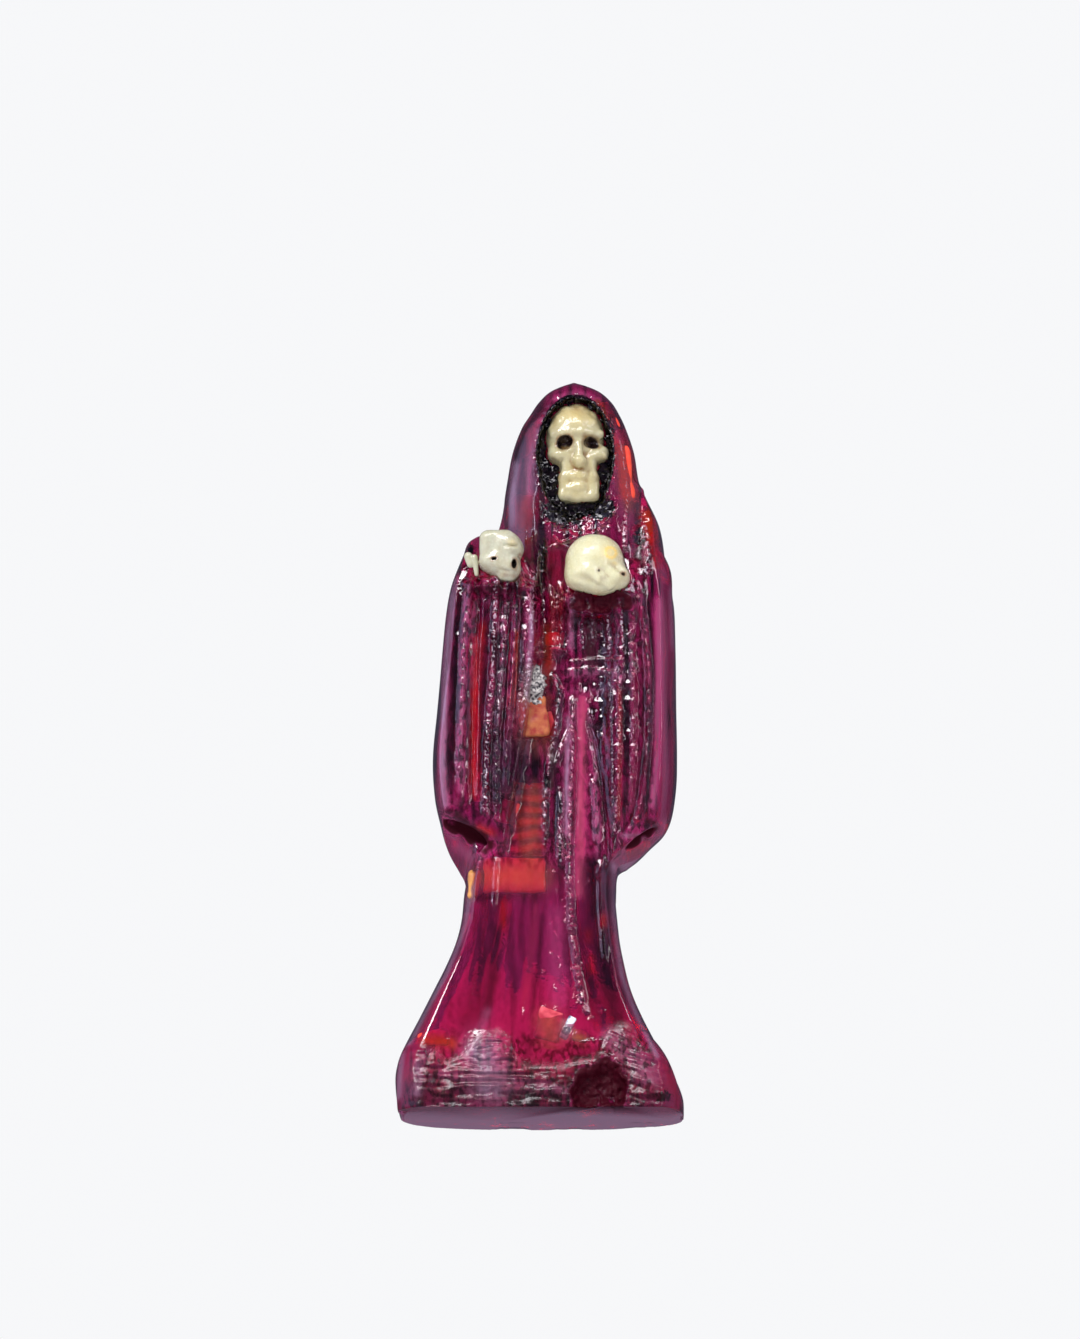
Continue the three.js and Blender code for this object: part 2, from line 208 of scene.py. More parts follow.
def joined(a, b, blend):
    """The nearer of two distances, with a rounded seam."""
    return np.minimum(a, b) - np.maximum(blend - np.abs(a - b), 0) ** 2 / (4 * blend)


# From distances to a mesh

CORNERS = np.array([(i, j, k) for i in (0, 1) for j in (0, 1) for k in (0, 1)])
EDGES = [(a, b) for a in range(8) for b in range(a + 1, 8) if abs(CORNERS[a] - CORNERS[b]).sum() == 1]


def look_up(field, cells):
    """The field between grid points, at places in grid units."""
    base = np.clip(np.floor(cells).astype(int), 0, np.array(field.shape) - 2)
    share = (cells - base).astype(np.float32)
    total = np.zeros(len(cells), dtype=np.float32)
    for corner in CORNERS:
        weight = np.prod(np.where(corner, share, 1 - share), axis=1)
        total += weight * field[tuple((base + corner).T)]
    return total


def net(clay):
    """A vertex in each grid cell that the surface crosses, and a quad round each crossed edge."""
    field = clay.field
    inside = field < 0
    size = [n - 1 for n in field.shape]
    filled = sum(
        inside[i:i + size[0], j:j + size[1], k:k + size[2]].astype(np.int8) for i, j, k in CORNERS
    )
    crossed = (filled > 0) & (filled < 8)
    cells = np.argwhere(crossed)
    names = np.full(crossed.shape, -1, dtype=np.int32)
    names[crossed] = np.arange(len(cells))
    values = np.stack([field[tuple((cells + corner).T)] for corner in CORNERS], axis=1)
    total, count = np.zeros((len(cells), 3)), np.zeros(len(cells))
    for a, b in EDGES:
        meets = (values[:, a] < 0) != (values[:, b] < 0)
        t = values[meets, a] / (values[meets, a] - values[meets, b])
        total[meets] += CORNERS[a] + t[:, None] * (CORNERS[b] - CORNERS[a])
        count[meets] += 1
    places = cells + total / count[:, None]

    faces = []
    for axis in range(3):
        side, other = (axis + 1) % 3, (axis + 2) % 3
        before, after = [slice(1, -1)] * 3, [slice(1, -1)] * 3
        before[axis], after[axis] = slice(None, -1), slice(1, None)
        first, second = inside[tuple(before)], inside[tuple(after)]
        for leaving in (True, False):
            found = np.argwhere(first & ~second if leaving else ~first & second)
            found[:, side] += 1
            found[:, other] += 1
            ring = []
            for a, b in ((1, 1), (0, 1), (0, 0), (1, 0)) if leaving else ((1, 1), (1, 0), (0, 0), (0, 1)):
                cell = found.copy()
                cell[:, side] -= a
                cell[:, other] -= b
                ring.append(names[tuple(cell.T)])
            faces.append(np.stack(ring, axis=1))
    return places, np.concatenate(faces)


def settle(clay, places, rounds=2):
    """Moves each vertex along the slope of the field until it lies on the surface."""
    for _ in range(rounds):
        slope = np.stack([
            look_up(clay.field, places + e) - look_up(clay.field, places - e) for e in np.eye(3) / 2
        ], axis=1)
        height = look_up(clay.field, places)
        steepness = np.maximum((slope ** 2).sum(axis=1), 1e-6)
        move = -height[:, None] * slope / steepness[:, None]
        places = places + np.clip(move, -MOST_MOVE, MOST_MOVE)
    return places


def in_scene(name, data):
    """A new object in the scene that shows the data."""
    made = bpy.data.objects.new(name, data)
    bpy.context.scene.collection.objects.link(made)
    return made


def mesh_of(clay, name, origin=(0, 0, 0), most=None):
    """The clay's surface as an object in metres, thinned to at most so many triangles."""
    places, faces = net(clay)
    places = settle(clay, places)
    shares = (clay.low + places * clay.step + np.array(origin)).astype(np.float32)
    mesh = bpy.data.meshes.new(name)
    mesh.vertices.add(len(shares))
    mesh.vertices.foreach_set("co", shares.ravel())
    mesh.loops.add(faces.size)
    mesh.loops.foreach_set("vertex_index", faces.astype(np.int32).ravel())
    mesh.polygons.add(len(faces))
    mesh.polygons.foreach_set("loop_start", np.arange(0, faces.size, 4, dtype=np.int32))
    mesh.update()
    mesh.validate()
    piece = in_scene(name, mesh)
    if most and 2 * len(faces) > most:
        thinned = piece.vertex_groups.new(name="thinned")
        y = shares[:, 1]
        for low, high, weight in THINNING:
            thinned.add(np.flatnonzero((y >= low) & (y < high)).tolist(), weight, "REPLACE")
        ratio = most / 2 / len(faces)
        apply_modifier(piece, "DECIMATE", ratio=ratio, vertex_group="thinned", vertex_group_factor=1e-4)
    corners = np.empty(len(piece.data.vertices) * 3, dtype=np.float32)
    piece.data.vertices.foreach_get("co", corners)
    piece.data.vertices.foreach_set("co", (corners.reshape(-1, 3) * STRETCH).astype(np.float32).ravel())
    piece.data.update()
    piece.data.shade_smooth()
    piece.data.set_sharp_from_angle(angle=SHARP_ANGLE)
    return piece


def points_of(piece):
    """A piece's vertices, in shares."""
    mesh = piece.data
    flat = np.empty(len(mesh.vertices) * 3, dtype=np.float32)
    mesh.vertices.foreach_get("co", flat)
    return flat.reshape(-1, 3) / STRETCH


def hollowness(clay, points, reach):
    """How hollow the surface is at each point: 1 in a groove, -1 on a crest.

    It is told from the distances at the points that lie reach shares away from it.
    """
    cells = (points - clay.low) / clay.step
    around = sum(
        look_up(clay.field, np.clip(cells + side * e, 0, np.array(clay.field.shape) - 1.001))
        for e in np.eye(3) * reach / clay.step for side in (-1, 1)
    )
    return np.clip(-2 * around / 6 / reach, -1, 1)


def apply_modifier(piece, kind, **settings):
    modifier = piece.modifiers.new(kind, kind)
    for key, value in settings.items():
        setattr(modifier, key, value)
    shaped = bpy.data.meshes.new_from_object(piece.evaluated_get(bpy.context.evaluated_depsgraph_get()))
    piece.modifiers.clear()
    piece.data, old = shaped, piece.data
    bpy.data.meshes.remove(old)
    shaped.name = piece.name
    shaped.shade_smooth()


def paint(piece, name, values):
    """Stores a number from 0 to 1 on each vertex."""
    layer = piece.data.attributes.new(name, "FLOAT", "POINT")
    layer.data.foreach_set("value", np.clip(values, 0, 1).astype(np.float32))


# The figure's forms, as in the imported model

HEM_LEAN = 0.85  # the distance to a slanting hem, as a part of the height above it


def column(part):
    """Rounded column whose left, right, face and back walls each follow a profile up the height.

    The round of its front is cut off flat at the face, where the carving is, so the face ends at a crest
    on each side. bulge says how far the round would reach out, for a face at 1.
    """
    power = part["power"]

    def distance(x, y, z):
        left, right, face, back = (part[side](z) for side in ("left", "right", "face", "back"))
        half_width, half_depth = (right - left) / 2, (back - face) / 2
        across = np.abs((x - (left + right) / 2) / half_width)
        deep = (y - (face + back) / 2) / half_depth
        deep = np.where(deep < 0, -deep / part["bulge"], deep)
        wall = ((across ** power + deep ** power) ** (1 / power) - 1) * np.minimum(half_width, half_depth)
        faced = -joined(-wall, y - face + front_relief(x, z), 0.3)
        hem = part["hem"](x, y) if "hem" in part else part["bottom"]
        return np.maximum(np.maximum(faced, (hem - z) * HEM_LEAN), z - part["top"])
    return Shape(distance, (-WIDEST, -DEEPEST, part["bottom"] - 1), (WIDEST, DEEPEST, part["top"] + 1))


def carved(shape):
    """A shape with the front's relief on it."""
    def distance(x, y, z):
        return shape.distance(x, y, z) - front_relief(x, z) * ramp(-6, -8, y)
    return Shape(distance, shape.low, shape.high)


def hem_plane(front, left, right, fall):
    """Height of the slanting plane that a sleeve ends at, from the two ends of its front hem."""
    slope = (right[1] - left[1]) / (right[0] - left[0])
    return lambda x, y: left[1] + slope * (x - left[0]) - fall * (y - front)


GOWN = {
    "bottom": 0, "top": 84, "power": 2.6, "bulge": 1.55,
    "left": profile([
        (0, -19), (2, -19.5), (5, -19.8), (7, -19.5), (8.7, -18.9), (13.7, -16.4), (17, -14.7), (20.3, -13),
        (23.6, -11.6), (27, -10.7), (31, -10.3), (38, -9), (50, -6.5), (66, -4), (84, -2),
    ]),
    "right": profile([
        (0, 19.6), (2.4, 19.5), (5.4, 18.3), (8.7, 16.5), (13.7, 14), (17, 12.6), (20.3, 11.7),
        (25, 10.8), (31, 10.3), (38, 11), (50, 12.5), (66, 13.6), (84, 11.5),
    ]),
    "face": profile([
        (0, -12.8), (3, -12.3), (9, -10.9), (14, -9.5), (19, -8.6), (25, -8.1), (32, -7.8), (50, -7.4),
        (64, -6.9), (74, -6.2), (80, -5), (84, -4),
    ]),
    "back": profile([(0, 13), (4, 12.7), (10, 11.4), (18, 10), (26, 9.2), (34, 9), (50, 9), (84, 8)]),
}

HOOD = {
    "bottom": 62, "top": 100, "power": 2.2, "bulge": 1.12,
    "left": profile([
        (62, -2.5), (72, -4.6), (80, -5), (84, -5), (87.6, -4.4), (90.8, -3.7), (94, -2.5),
        (95.7, -1.4), (97.3, -0.3), (98.7, 1.2), (99.5, 3), (100, 4.5),
    ]),
    "right": profile([
        (62, 14.5), (72, 15.2), (80, 14.9), (84, 14.3), (87.6, 13.5), (90.8, 12.9), (94, 11.8),
        (95.7, 11), (97.3, 10), (98.7, 8.4), (99.5, 6.5), (100, 4.9),
    ]),
    "face": profile([
        (62, -5.5), (76, -7), (84, -7.9), (91, -8), (95, -7.4), (98, -6), (99.3, -4.8), (100, -3.2),
    ]),
    "back": profile([(62, 8.6), (76, 9), (86, 8.8), (92, 7.2), (96, 4.6), (98.5, 1.8), (100, -1.2)]),
}

CAPE = {
    "bottom": 35, "top": 84, "power": 2.8, "bulge": 1.0,
    "left": profile([(35, -8.6), (38.6, -10.2), (50, -11), (66, -10.2), (74, -8.6), (80, -6), (84, -3.5)]),
    "right": profile([(35, 11), (39.5, 14.2), (50, 16.2), (66, 16.4), (76, 16), (80, 15), (84, 12.5)]),
    "face": profile([(33.5, -2), (84, -1)]),
    "back": profile([(33.5, 9.2), (38, 10), (50, 10.4), (66, 10.2), (78, 9.6), (84, 8.4)]),
}

LEFT_SLEEVE = {
    "bottom": 30, "top": 79, "power": 2.3, "bulge": 1.6,
    "hem": hem_plane(front=-8.7, left=(-12.5, 40.2), right=(-6, 37), fall=0.52),
    "left": profile([
        (30, -9), (32, -9.9), (33.5, -11.4), (36.8, -12.9), (40, -13.7), (43.4, -14.4), (48.4, -14.7),
        (55, -14.2), (62, -13.5), (68, -12.9), (72, -12.2), (74.9, -11.2), (76.6, -10.5), (78.2, -9.9),
        (79, -8.8),
    ]),
    "right": profile([
        (30, -6.5), (36, -4.6), (42, -3.2), (52, -1.2), (62, 0.3), (68, 0), (73, -1.6), (79, -5),
    ]),
    "face": profile([
        (30, -7.4), (38, -8.8), (46, -9.2), (56, -9.4), (66, -9.3), (73, -8.4), (77, -6), (79, -3),
    ]),
    "back": profile([(30, 3), (34, 4.4), (38, 5.8), (46, 6.6), (56, 7), (66, 6.6), (73, 5.4), (79, 2.8)]),
}

RIGHT_SLEEVE = {
    "bottom": 30, "top": 85, "power": 2.3, "bulge": 1.2,
    "hem": hem_plane(front=-8.5, left=(11, 35.9), right=(17.5, 40.5), fall=0.33),
    "left": profile([(30, 7.9), (34, 9.2), (36, 9), (46, 8.2), (60, 8.4), (72, 9.2), (80, 10.8), (85, 12)]),
    "right": profile([
        (30, 9.4), (33.4, 10), (35.2, 13.5), (36.9, 15.4), (38.4, 17), (40.2, 17.9), (43.2, 18.5),
        (47, 18.8), (60, 18.7), (67, 18.5), (70.5, 18.2), (75, 17.1), (79.9, 16.5), (82, 15.8),
        (85, 13.8),
    ]),
    "face": profile([
        (30, -7), (38, -8), (46, -8.7), (60, -8.9), (70, -8.5), (77, -7), (82, -4.6), (85, -2.5),
    ]),
    "back": profile([(30, 3), (34, 4.8), (38, 6), (46, 7.2), (60, 8), (74, 8), (82, 6.5), (85, 4)]),
}

PALMS = [ellipsoid((-6, -7.6, 71.1), (4.2, 3.2, 1.7)), ellipsoid((7.8, -7.6, 69.3), (4.9, 3.2, 2.2))]
RIGHT_FOREARM = rod((14.6, -3.5, 73.4), (10.5, -6.5, 69.9), 3.2, 3.4)
HEM_FOLDS = [
    ellipsoid((-16, -7.6, 1.5), (3.4, 4.6, 7.4)),
    ellipsoid((-7.6, -9.4, 0.5), (6.2, 3.2, 8.8)),
    ellipsoid((1.8, -9.6, 0), (5.6, 3, 5.4)),
    ellipsoid((14.6, -7.6, 0.5), (4.2, 4.8, 9)),
]
FACE_RECESS = cup((4.85, 89.4), 5.1, 8, -5.3)
THROAT = ellipsoid((5.2, -9.4, 81.6), (5.3, 3.2, 4.2))
NICHE = [
    ellipsoid((6.7, -12.9, 2.3), (2.3, 2.2, 2.8), 0.2),
    ellipsoid((8.9, -12.6, 3.5), (2, 2.2, 3.1), 0.15),
    ellipsoid((10.6, -12.2, 2.4), (1.2, 1.6, 2)),
]
UNDER_SKULL = ellipsoid((8.1, -11.6, 69), (5, 2.6, 1.7))
SLEEVE_HOLLOWS = [
    ellipsoid((-9.2, -6.6, 38.4), (3.9, 1.5, 2.9), 0.42),
    ellipsoid((13.6, -6.2, 37.4), (2.3, 1.3, 2.3), -0.6),
]


# Relief on the front and the back, as heights over x and z

SEEN_RISE, SEEN_SCALE = 0.14, 0.992


def as_seen(z):
    """The height at which the photograph, which looks up, shows a point on the front."""
    return (z + SEEN_RISE) / SEEN_SCALE


def line_gap(x, z, points):
    """Distance to a line of (x, z) points, and how far along the line its nearest place is, from 0 to 1."""
    nearest = np.full(np.broadcast(x, z).shape, np.inf, dtype=np.float32)
    share = np.zeros_like(nearest)
    spans = len(points) - 1
    for i in range(spans):
        (ax, az), (bx, bz) = points[i], points[i + 1]
        t = np.clip(((x - ax) * (bx - ax) + (z - az) * (bz - az)) / ((bx - ax) ** 2 + (bz - az) ** 2), 0, 1)
        gap = np.hypot(x - ax - t * (bx - ax), z - az - t * (bz - az))
        closer = gap < nearest
        nearest = np.where(closer, gap, nearest)
        share = np.where(closer, (i + t) / spans, share)
    return nearest, share


def stroke(x, z, points, width, height, beads):
    """A ridge along a line of (x, z) points, or a groove if the height is negative, lower at its ends.

    beads is how far lumps along it stand out, as a part of its height.
    """
    gap, share = line_gap(x, z, points)
    ends = 0.35 + 0.65 * ramp(0, 0.12, share) * ramp(0, 0.12, 1 - share)
    lumps = 1 + beads * noise(x / 0.7, z / 0.45, 17)
    return 1.15 * height * ends * lumps * np.exp(-(gap / width) ** 2)


# Each ridge is (points, width, height, beads), from its top down
RIDGES = [
    # left sleeve
    ([(-9.4, 74), (-10.4, 65.3), (-10.6, 59), (-10.9, 50.7), (-11, 42.5)], 0.5, 0.6, 0.3),
    ([(-6, 73.4), (-6.5, 60), (-7, 54.6), (-7.3, 49.8), (-7.5, 41)], 0.42, 0.5, 0.8),
    ([(-4.5, 73.4), (-5.1, 61), (-5.5, 56.7), (-5.9, 52), (-6, 40)], 0.4, 0.31, 0.5),
    ([(-3, 73.8), (-3.5, 64), (-3.9, 58), (-4.4, 52), (-4.8, 44)], 0.34, 0.5, 0.4),
    ([(-2.1, 66), (-2.4, 60), (-3, 54)], 0.33, 0.22, 0.5),
    ([(-0.9, 74), (-1.2, 66), (-1.5, 60), (-2.4, 52)], 0.55, 0.31, 0.6),
    # chest
    ([(1.6, 72), (1.8, 64.5), (1.6, 61)], 0.4, 0.45, 0.3),
    ([(2.9, 72.5), (3, 66), (2.6, 62.4)], 0.4, 0.5, 0.3),
    ([(4.3, 70), (4.1, 66)], 0.4, 0.5, 0.3),
    ([(5.7, 69.6), (5.9, 63.5)], 0.3, 0.3, 0.6),
    ([(7.2, 69), (7.3, 64.5)], 0.35, 0.3, 0.6),
    ([(9.2, 69), (9.5, 63)], 0.32, 0.3, 0.7),
    ([(11, 69.8), (11.5, 63)], 0.32, 0.3, 0.7),
    ([(1.2, 63.4), (2.3, 63.5), (3.6, 63.2)], 0.22, 0.4, 0.2),
    ([(4.5, 61.8), (8, 62.2), (12, 61.6)], 0.3, 0.22, 0.5),
    ([(4, 60.6), (7, 60.9), (10.5, 60)], 0.28, 0.19, 0.5),
    ([(1.6, 60), (2.3, 58.6), (2.9, 57)], 0.33, 0.25, 0.6),
    # the long folds that spread from the waist
    ([(4.6, 56.5), (4.5, 49), (4.2, 43), (4, 36), (4.2, 26), (5.2, 18.5), (6.3, 13.5)], 0.44, 0.46, 0.55),
    ([(6.5, 56.5), (7.8, 50.5), (8.8, 45), (9.8, 37), (9.8, 30), (9.9, 24), (10.6, 17)], 0.3, 0.35, 0.2),
    ([(7.2, 46), (7.7, 42), (7.9, 36.5)], 0.45, 0.45, 0.2),
    ([(2.9, 58), (2, 52), (1.2, 47), (0.7, 43), (0.6, 36)], 0.44, 0.31, 0.6),
    ([(3.9, 52), (2.8, 49.4), (1.9, 47.2)], 0.33, 0.31, 0.5),
    ([(2.9, 44), (2.8, 38), (2.8, 34)], 0.55, 0.31, 0.6),
    ([(8.3, 34), (8.2, 28), (9, 20)], 0.4, 0.3, 0.1),
    # skirt
    ([(-8.3, 34), (-7.8, 27), (-8.3, 20), (-9.2, 14)], 0.5, 0.08, 0.3),
    ([(-5.8, 35), (-6.1, 31), (-6.3, 28)], 0.4, 0.25, 0.3),
    ([(-4.6, 35), (-4.4, 28), (-4.9, 22), (-6.6, 14), (-8.2, 9)], 0.9, 0.12, 0),
    ([(-2.4, 33), (-2.6, 27), (-3.2, 20), (-4.4, 12)], 0.8, 0.12, 0),
    ([(-0.2, 33), (-0.4, 26), (-1.2, 19), (-2, 11)], 0.7, 0.14, 0),
    ([(1.9, 34), (1.8, 27), (1.3, 20)], 0.6, 0.1, 0.2),
    ([(3.1, 30), (3.2, 22), (3.2, 15)], 0.6, 0.08, 0.2),
    # crests between the carved front and the smooth sides
    ([
        (-9.2, 40), (-9.3, 34), (-9.5, 30), (-10.2, 26), (-11.6, 22.3), (-13, 18.7), (-15.4, 14.5),
        (-17.9, 9.4), (-18.3, 4),
    ], 0.8, 0.4, 0),
    ([
        (10.4, 38), (10.1, 32), (10.2, 27), (11.2, 19), (12.4, 15.5), (14, 11.6), (16, 7.2), (17.6, 3),
    ], 0.7, 0.4, 0),
    # right sleeve
    ([
        (13.4, 72), (14.3, 67), (15, 60), (14.9, 51.5), (14.3, 45), (13.5, 40.5), (12.4, 38.4),
    ], 0.36, 0.75, 0.45),
    ([(12.3, 68), (12.9, 58), (12.9, 50), (12.4, 42)], 0.4, 0.28, 0.5),
    ([(10.9, 62), (11, 54), (10.7, 46), (10.2, 38)], 0.37, 0.25, 0.6),
    ([(9.4, 60), (9.9, 50), (9.9, 42)], 0.33, 0.22, 0.6),
    ([(16.6, 74), (16.9, 64), (16.8, 52), (15.8, 43)], 0.9, 0.25, 0),
    # throat
    ([(0.9, 80), (2.8, 78), (4.6, 76.8)], 0.16, 0.3, 0.3),
    ([(3.6, 80), (5.8, 78.2), (9.4, 77.8)], 0.16, 0.3, 0.3),
    ([(1.4, 77.6), (4.6, 78.8), (8.2, 80)], 0.16, 0.3, 0.3),
    ([(6.4, 80), (7.4, 78.4), (8.6, 77)], 0.16, 0.3, 0.3),
    # hood
    ([(-1.6, 90), (-2.1, 84), (-2.4, 78), (-2.8, 73)], 0.5, 0.4, 0.1),
    ([(1.4, 96.6), (-0.2, 93), (-0.9, 88), (-1, 83), (-1.2, 76)], 0.4, 0.55, 0.2),
    ([(9.2, 96.6), (11, 92.6), (11.8, 88), (12, 84), (11.7, 77)], 0.3, 0.4, 0.6),
    ([(11.4, 93), (12.9, 87), (13.5, 81)], 0.4, 0.35, 0.1),
    ([(1.6, 96.8), (3.4, 98), (5.4, 98.2), (7.6, 97.6)], 0.35, 0.45, 0.3),
    ([(-3.4, 88), (-3.8, 80)], 0.35, 0.3, 0),
    ([(0.1, 95), (-0.4, 91), (-0.4, 84)], 0.3, 0.3, 0.4),
    ([(14.3, 80.5), (14.8, 77), (14.6, 74)], 0.55, 0.31, 0.8),
]

GROOVES = [
    ([(-8.2, 73.4), (-8.9, 60), (-9.2, 50), (-9.3, 42)], 0.5, -0.45, 0),
    ([(0.4, 80), (0.2, 74), (0.3, 66), (0, 60)], 0.6, -0.5, 0.4),
    ([(13.6, 84), (13.9, 79), (13.4, 75)], 0.9, -0.7, 0.4),
    ([(3.6, 70), (3.6, 66), (3.2, 64)], 0.3, -0.3, 0),
    ([(7, 54), (8.3, 47), (9.4, 39), (9.2, 33)], 0.55, -0.55, 0.1),
    ([(5.2, 53), (5.1, 46), (4.9, 38)], 0.25, -0.25, 0),
]

# Height of the rough hem band's upper edge, over x
hem_top = profile([
    (-19, 8.6), (-15.8, 8.4), (-15.3, 7.1), (-14.5, 7.4), (-12.8, 6), (-10, 7.1), (-8, 9.4), (-6.3, 10.2),
    (-4.6, 9.4), (-2.9, 6.3), (-0.7, 5.4), (3.3, 5.6), (4.6, 6.2), (8, 6.8), (8.8, 9), (9.9, 10.8),
    (12.6, 11), (14.5, 8.4), (17.5, 6),
])

# What the relief is worked out over, and how closely
RELIEF_WIDTH = (-WIDEST, WIDEST)
RELIEF_HEIGHT = (-1, 102)
RELIEF_STEP = 0.1


@functools.cache
def relief_table():
    """The front's relief over its whole width and height, worked out once."""
    x = np.arange(*RELIEF_WIDTH, RELIEF_STEP, dtype=np.float32)[:, None]
    z = np.arange(*RELIEF_HEIGHT, RELIEF_STEP, dtype=np.float32)[None, :]
    return carve_front(x, as_seen(z))


def front_relief(x, z):
    """How far the front's relief stands out, between the places of its table."""
    table = relief_table()
    shape = np.broadcast(x, z).shape
    i, j = (
        np.broadcast_to(np.clip((place - span[0]) / RELIEF_STEP, 0, count - 1.01), shape)
        for place, span, count in zip((x, z), (RELIEF_WIDTH, RELIEF_HEIGHT), table.shape)
    )
    iu, jv = i.astype(int), j.astype(int)
    fi, fj = i - iu, j - jv
    lower = table[iu, jv] * (1 - fi) + table[iu + 1, jv] * fi
    upper = table[iu, jv + 1] * (1 - fi) + table[iu + 1, jv + 1] * fi
    return (lower * (1 - fj) + upper * fj).astype(np.float32)


def carve_front(x, z):
    """The front's ridges, grooves, tool marks and hem band, as a height over x and the height as seen."""
    relief = np.zeros(np.broadcast(x, z).shape, dtype=np.float32)
    for line in RIDGES + GROOVES:
        relief += stroke(x, z, *line)
    # The mould's tool marks run down the cloth, and blur into blots on the right of the chest.
    carved = ramp(-14, -12, x) * ramp(15.6, 14, x)
    streaks = noise(x / 0.65, z / 4.5, 11) * 0.11 + noise(x / 0.6, z / 1.1, 12) * 0.06
    streaks *= 0.12 + 0.88 * ramp(33, 39, z)
    blots = noise(x / 0.75, z / 0.75, 13) * 0.24 + noise(x / 0.5, z / 0.5, 14) * 0.12
    chest = np.exp(-((x - 10) / 4) ** 2) * ramp(41, 55, z) * ramp(71, 68, z)
    # The smooth panel down from the waist gets wider from its top.
    down = 57 - z
    panel = ramp(4.4, 5.0, x + 0.05 * down) * ramp(0.6, 0, x - 6 - 0.19 * np.minimum(down, 20))
    panel *= ramp(57, 54, z)
    relief += carved * (streaks * ramp(9, 13, z) * (1 - 0.85 * panel) + blots * chest)
    # The rough hem band stands out from the gown and is combed across, on the right in a fan.
    band = ramp(0.7, -0.9, z - hem_top(x)) * ramp(-18.6, -16.5, x) * ramp(18.2, 16.2, x)
    fan = z + 0.8 * np.maximum(x - 9, 0) - 0.05 * np.maximum(x - 9, 0) ** 2
    combed = noise(x / 3.4, fan / 0.5, 21) * 0.14 + noise(x / 1.6, fan / 0.36, 22) * 0.08
    rows = fan / 0.9 + 0.8 * noise(x / 2.6, z / 2.2, 24)
    humps = np.maximum(np.exp(-((x + 7.5) / 4.2) ** 2), np.exp(-((x - 11.5) / 3) ** 2))
    combed -= (0.04 + 0.16 * humps) * (rows - np.floor(rows))
    relief += band * (0.1 + 0.16 * humps + combed + noise(x / 1.1, z / 1.3, 23) * 0.14)
    return relief


def back_relief(x, z):
    """Plain broad folds for the side that the photograph doesn't show."""
    folds = 0.4 * np.cos(x * 2 * math.pi / 4.2 + 0.5 * np.sin(z / 9)) * ramp(80, 70, z) * ramp(34, 38, z)
    skirt = 0.4 * np.cos((x / (0.72 + 0.9 * ramp(34, 4, z))) * 1.4) * ramp(34, 30, z) * ramp(2, 10, z)
    hood = 0.25 * np.cos((x - 4.8) * 1.5) * ramp(96, 88, z) * ramp(78, 82, z)
    rough = noise(x / 2.4, z / 3.8, 31) * 0.12 + noise(x / 0.6, z / 2.2, 32) * 0.03
    return folds + skirt + hood + rough


# The ivory shapes, each in a frame of its own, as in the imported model

FACE_PITS = [
    ellipsoid((-1.9, -3, 0.75), (1.2, 2, 0.95), -0.25),
    ellipsoid((2, -3, 0.72), (1.2, 2, 0.85), 0.15),
]
LEFT_SKULL_PITS = [
    ellipsoid((1.95, -2.9, -1.35), (0.34, 1.3, 0.6), 0.1),
    block((-0.8, -2.7, -0.68), (0.32, 0.9, 0.18), 0.1),
]
RIGHT_SKULL_PITS = [
    ellipsoid((3.7, -2.9, -1.65), (0.24, 0.9, 0.2), 0.3),
    ellipsoid((0.34, -4, -1.34), (0.13, 0.6, 0.16)),
]


def face_clay():
    clay = Clay((-5.6, -4.6, -8.4), (5.6, 2.9, 7.2), SKULL_STEP)
    clay.join(ellipsoid((-0.35, 0.4, 1.4), (4, 3.1, 5.1)), 0.1)
    clay.join(ellipsoid((-0.3, -1.3, 3), (2.9, 1.2, 1.3)), 0.9)
    clay.join(block((0.2, -0.5, -2.6), (2.45, 1.9, 2), 0.9), 0.5)
    clay.join(block((0.15, -0.2, -5.2), (2.85, 2.1, 1.95), 0.9), 0.4)
    clay.join(rod((-1.9, -1.6, -6.3), (2.1, -1.6, -6.5), 0.7, 0.7), 0.5)
    for side in (-1, 1):
        clay.join(ellipsoid((0.05 + side * 3, -0.8, -0.6), (1.3, 1.6, 1.15)), 0.6)
        clay.join(ellipsoid((0.05 + side * 2.6, -1.7, -1), (1.1, 0.8, 0.55), side * 0.15), 0.5)
        clay.join(rod((side * 3.1, -1.6, 1.9), (side * 0.7, -2.35, 2.1), 0.5, 0.5), 0.6)
        clay.cut(ellipsoid((0.15 + side * 3.5, -2, -2.6), (0.95, 1.7, 1)), 0.45)
    for pit in FACE_PITS:
        clay.cut(pit, 0.3)
    clay.join(rod((0.1, -2.2, 1.8), (0.15, -2.75, -0.9), 0.34, 0.5), 0.4)
    clay.join(ellipsoid((0.25, -2.7, -1.85), (0.95, 0.95, 0.85)), 0.4)
    clay.join(ellipsoid((-0.1, -2.1, -3.8), (1.35, 0.6, 0.62)), 0.4)
    clay.join(ellipsoid((-0.15, -2.15, -5.4), (1.25, 0.6, 0.85)), 0.4)
    clay.cut(rod((-1.6, -2.95, -4.55), (1.8, -2.9, -4.6), 0.25, 0.25), 0.4)
    for x in (-1.95, 1.5, 2.35):
        clay.cut(rod((x, -2.65, -3.3), (x - 0.1, -2.6, -6), 0.2, 0.16), 0.4)
    for x in (-0.75, 0.05, 0.75):
        clay.cut(rod((x, -2.95, -3.5), (x, -2.9, -4.9), 0.14, 0.14), 0.25)
    x, y, z = clay.whole()
    clay.field += 0.1 * noise(x / 1.2 + y / 2.1, z / 1.2, 41) + 0.05 * noise(x / 0.55, z / 0.55, 42)
    clay.field = np.maximum(clay.field, y - 2.4)
    return clay


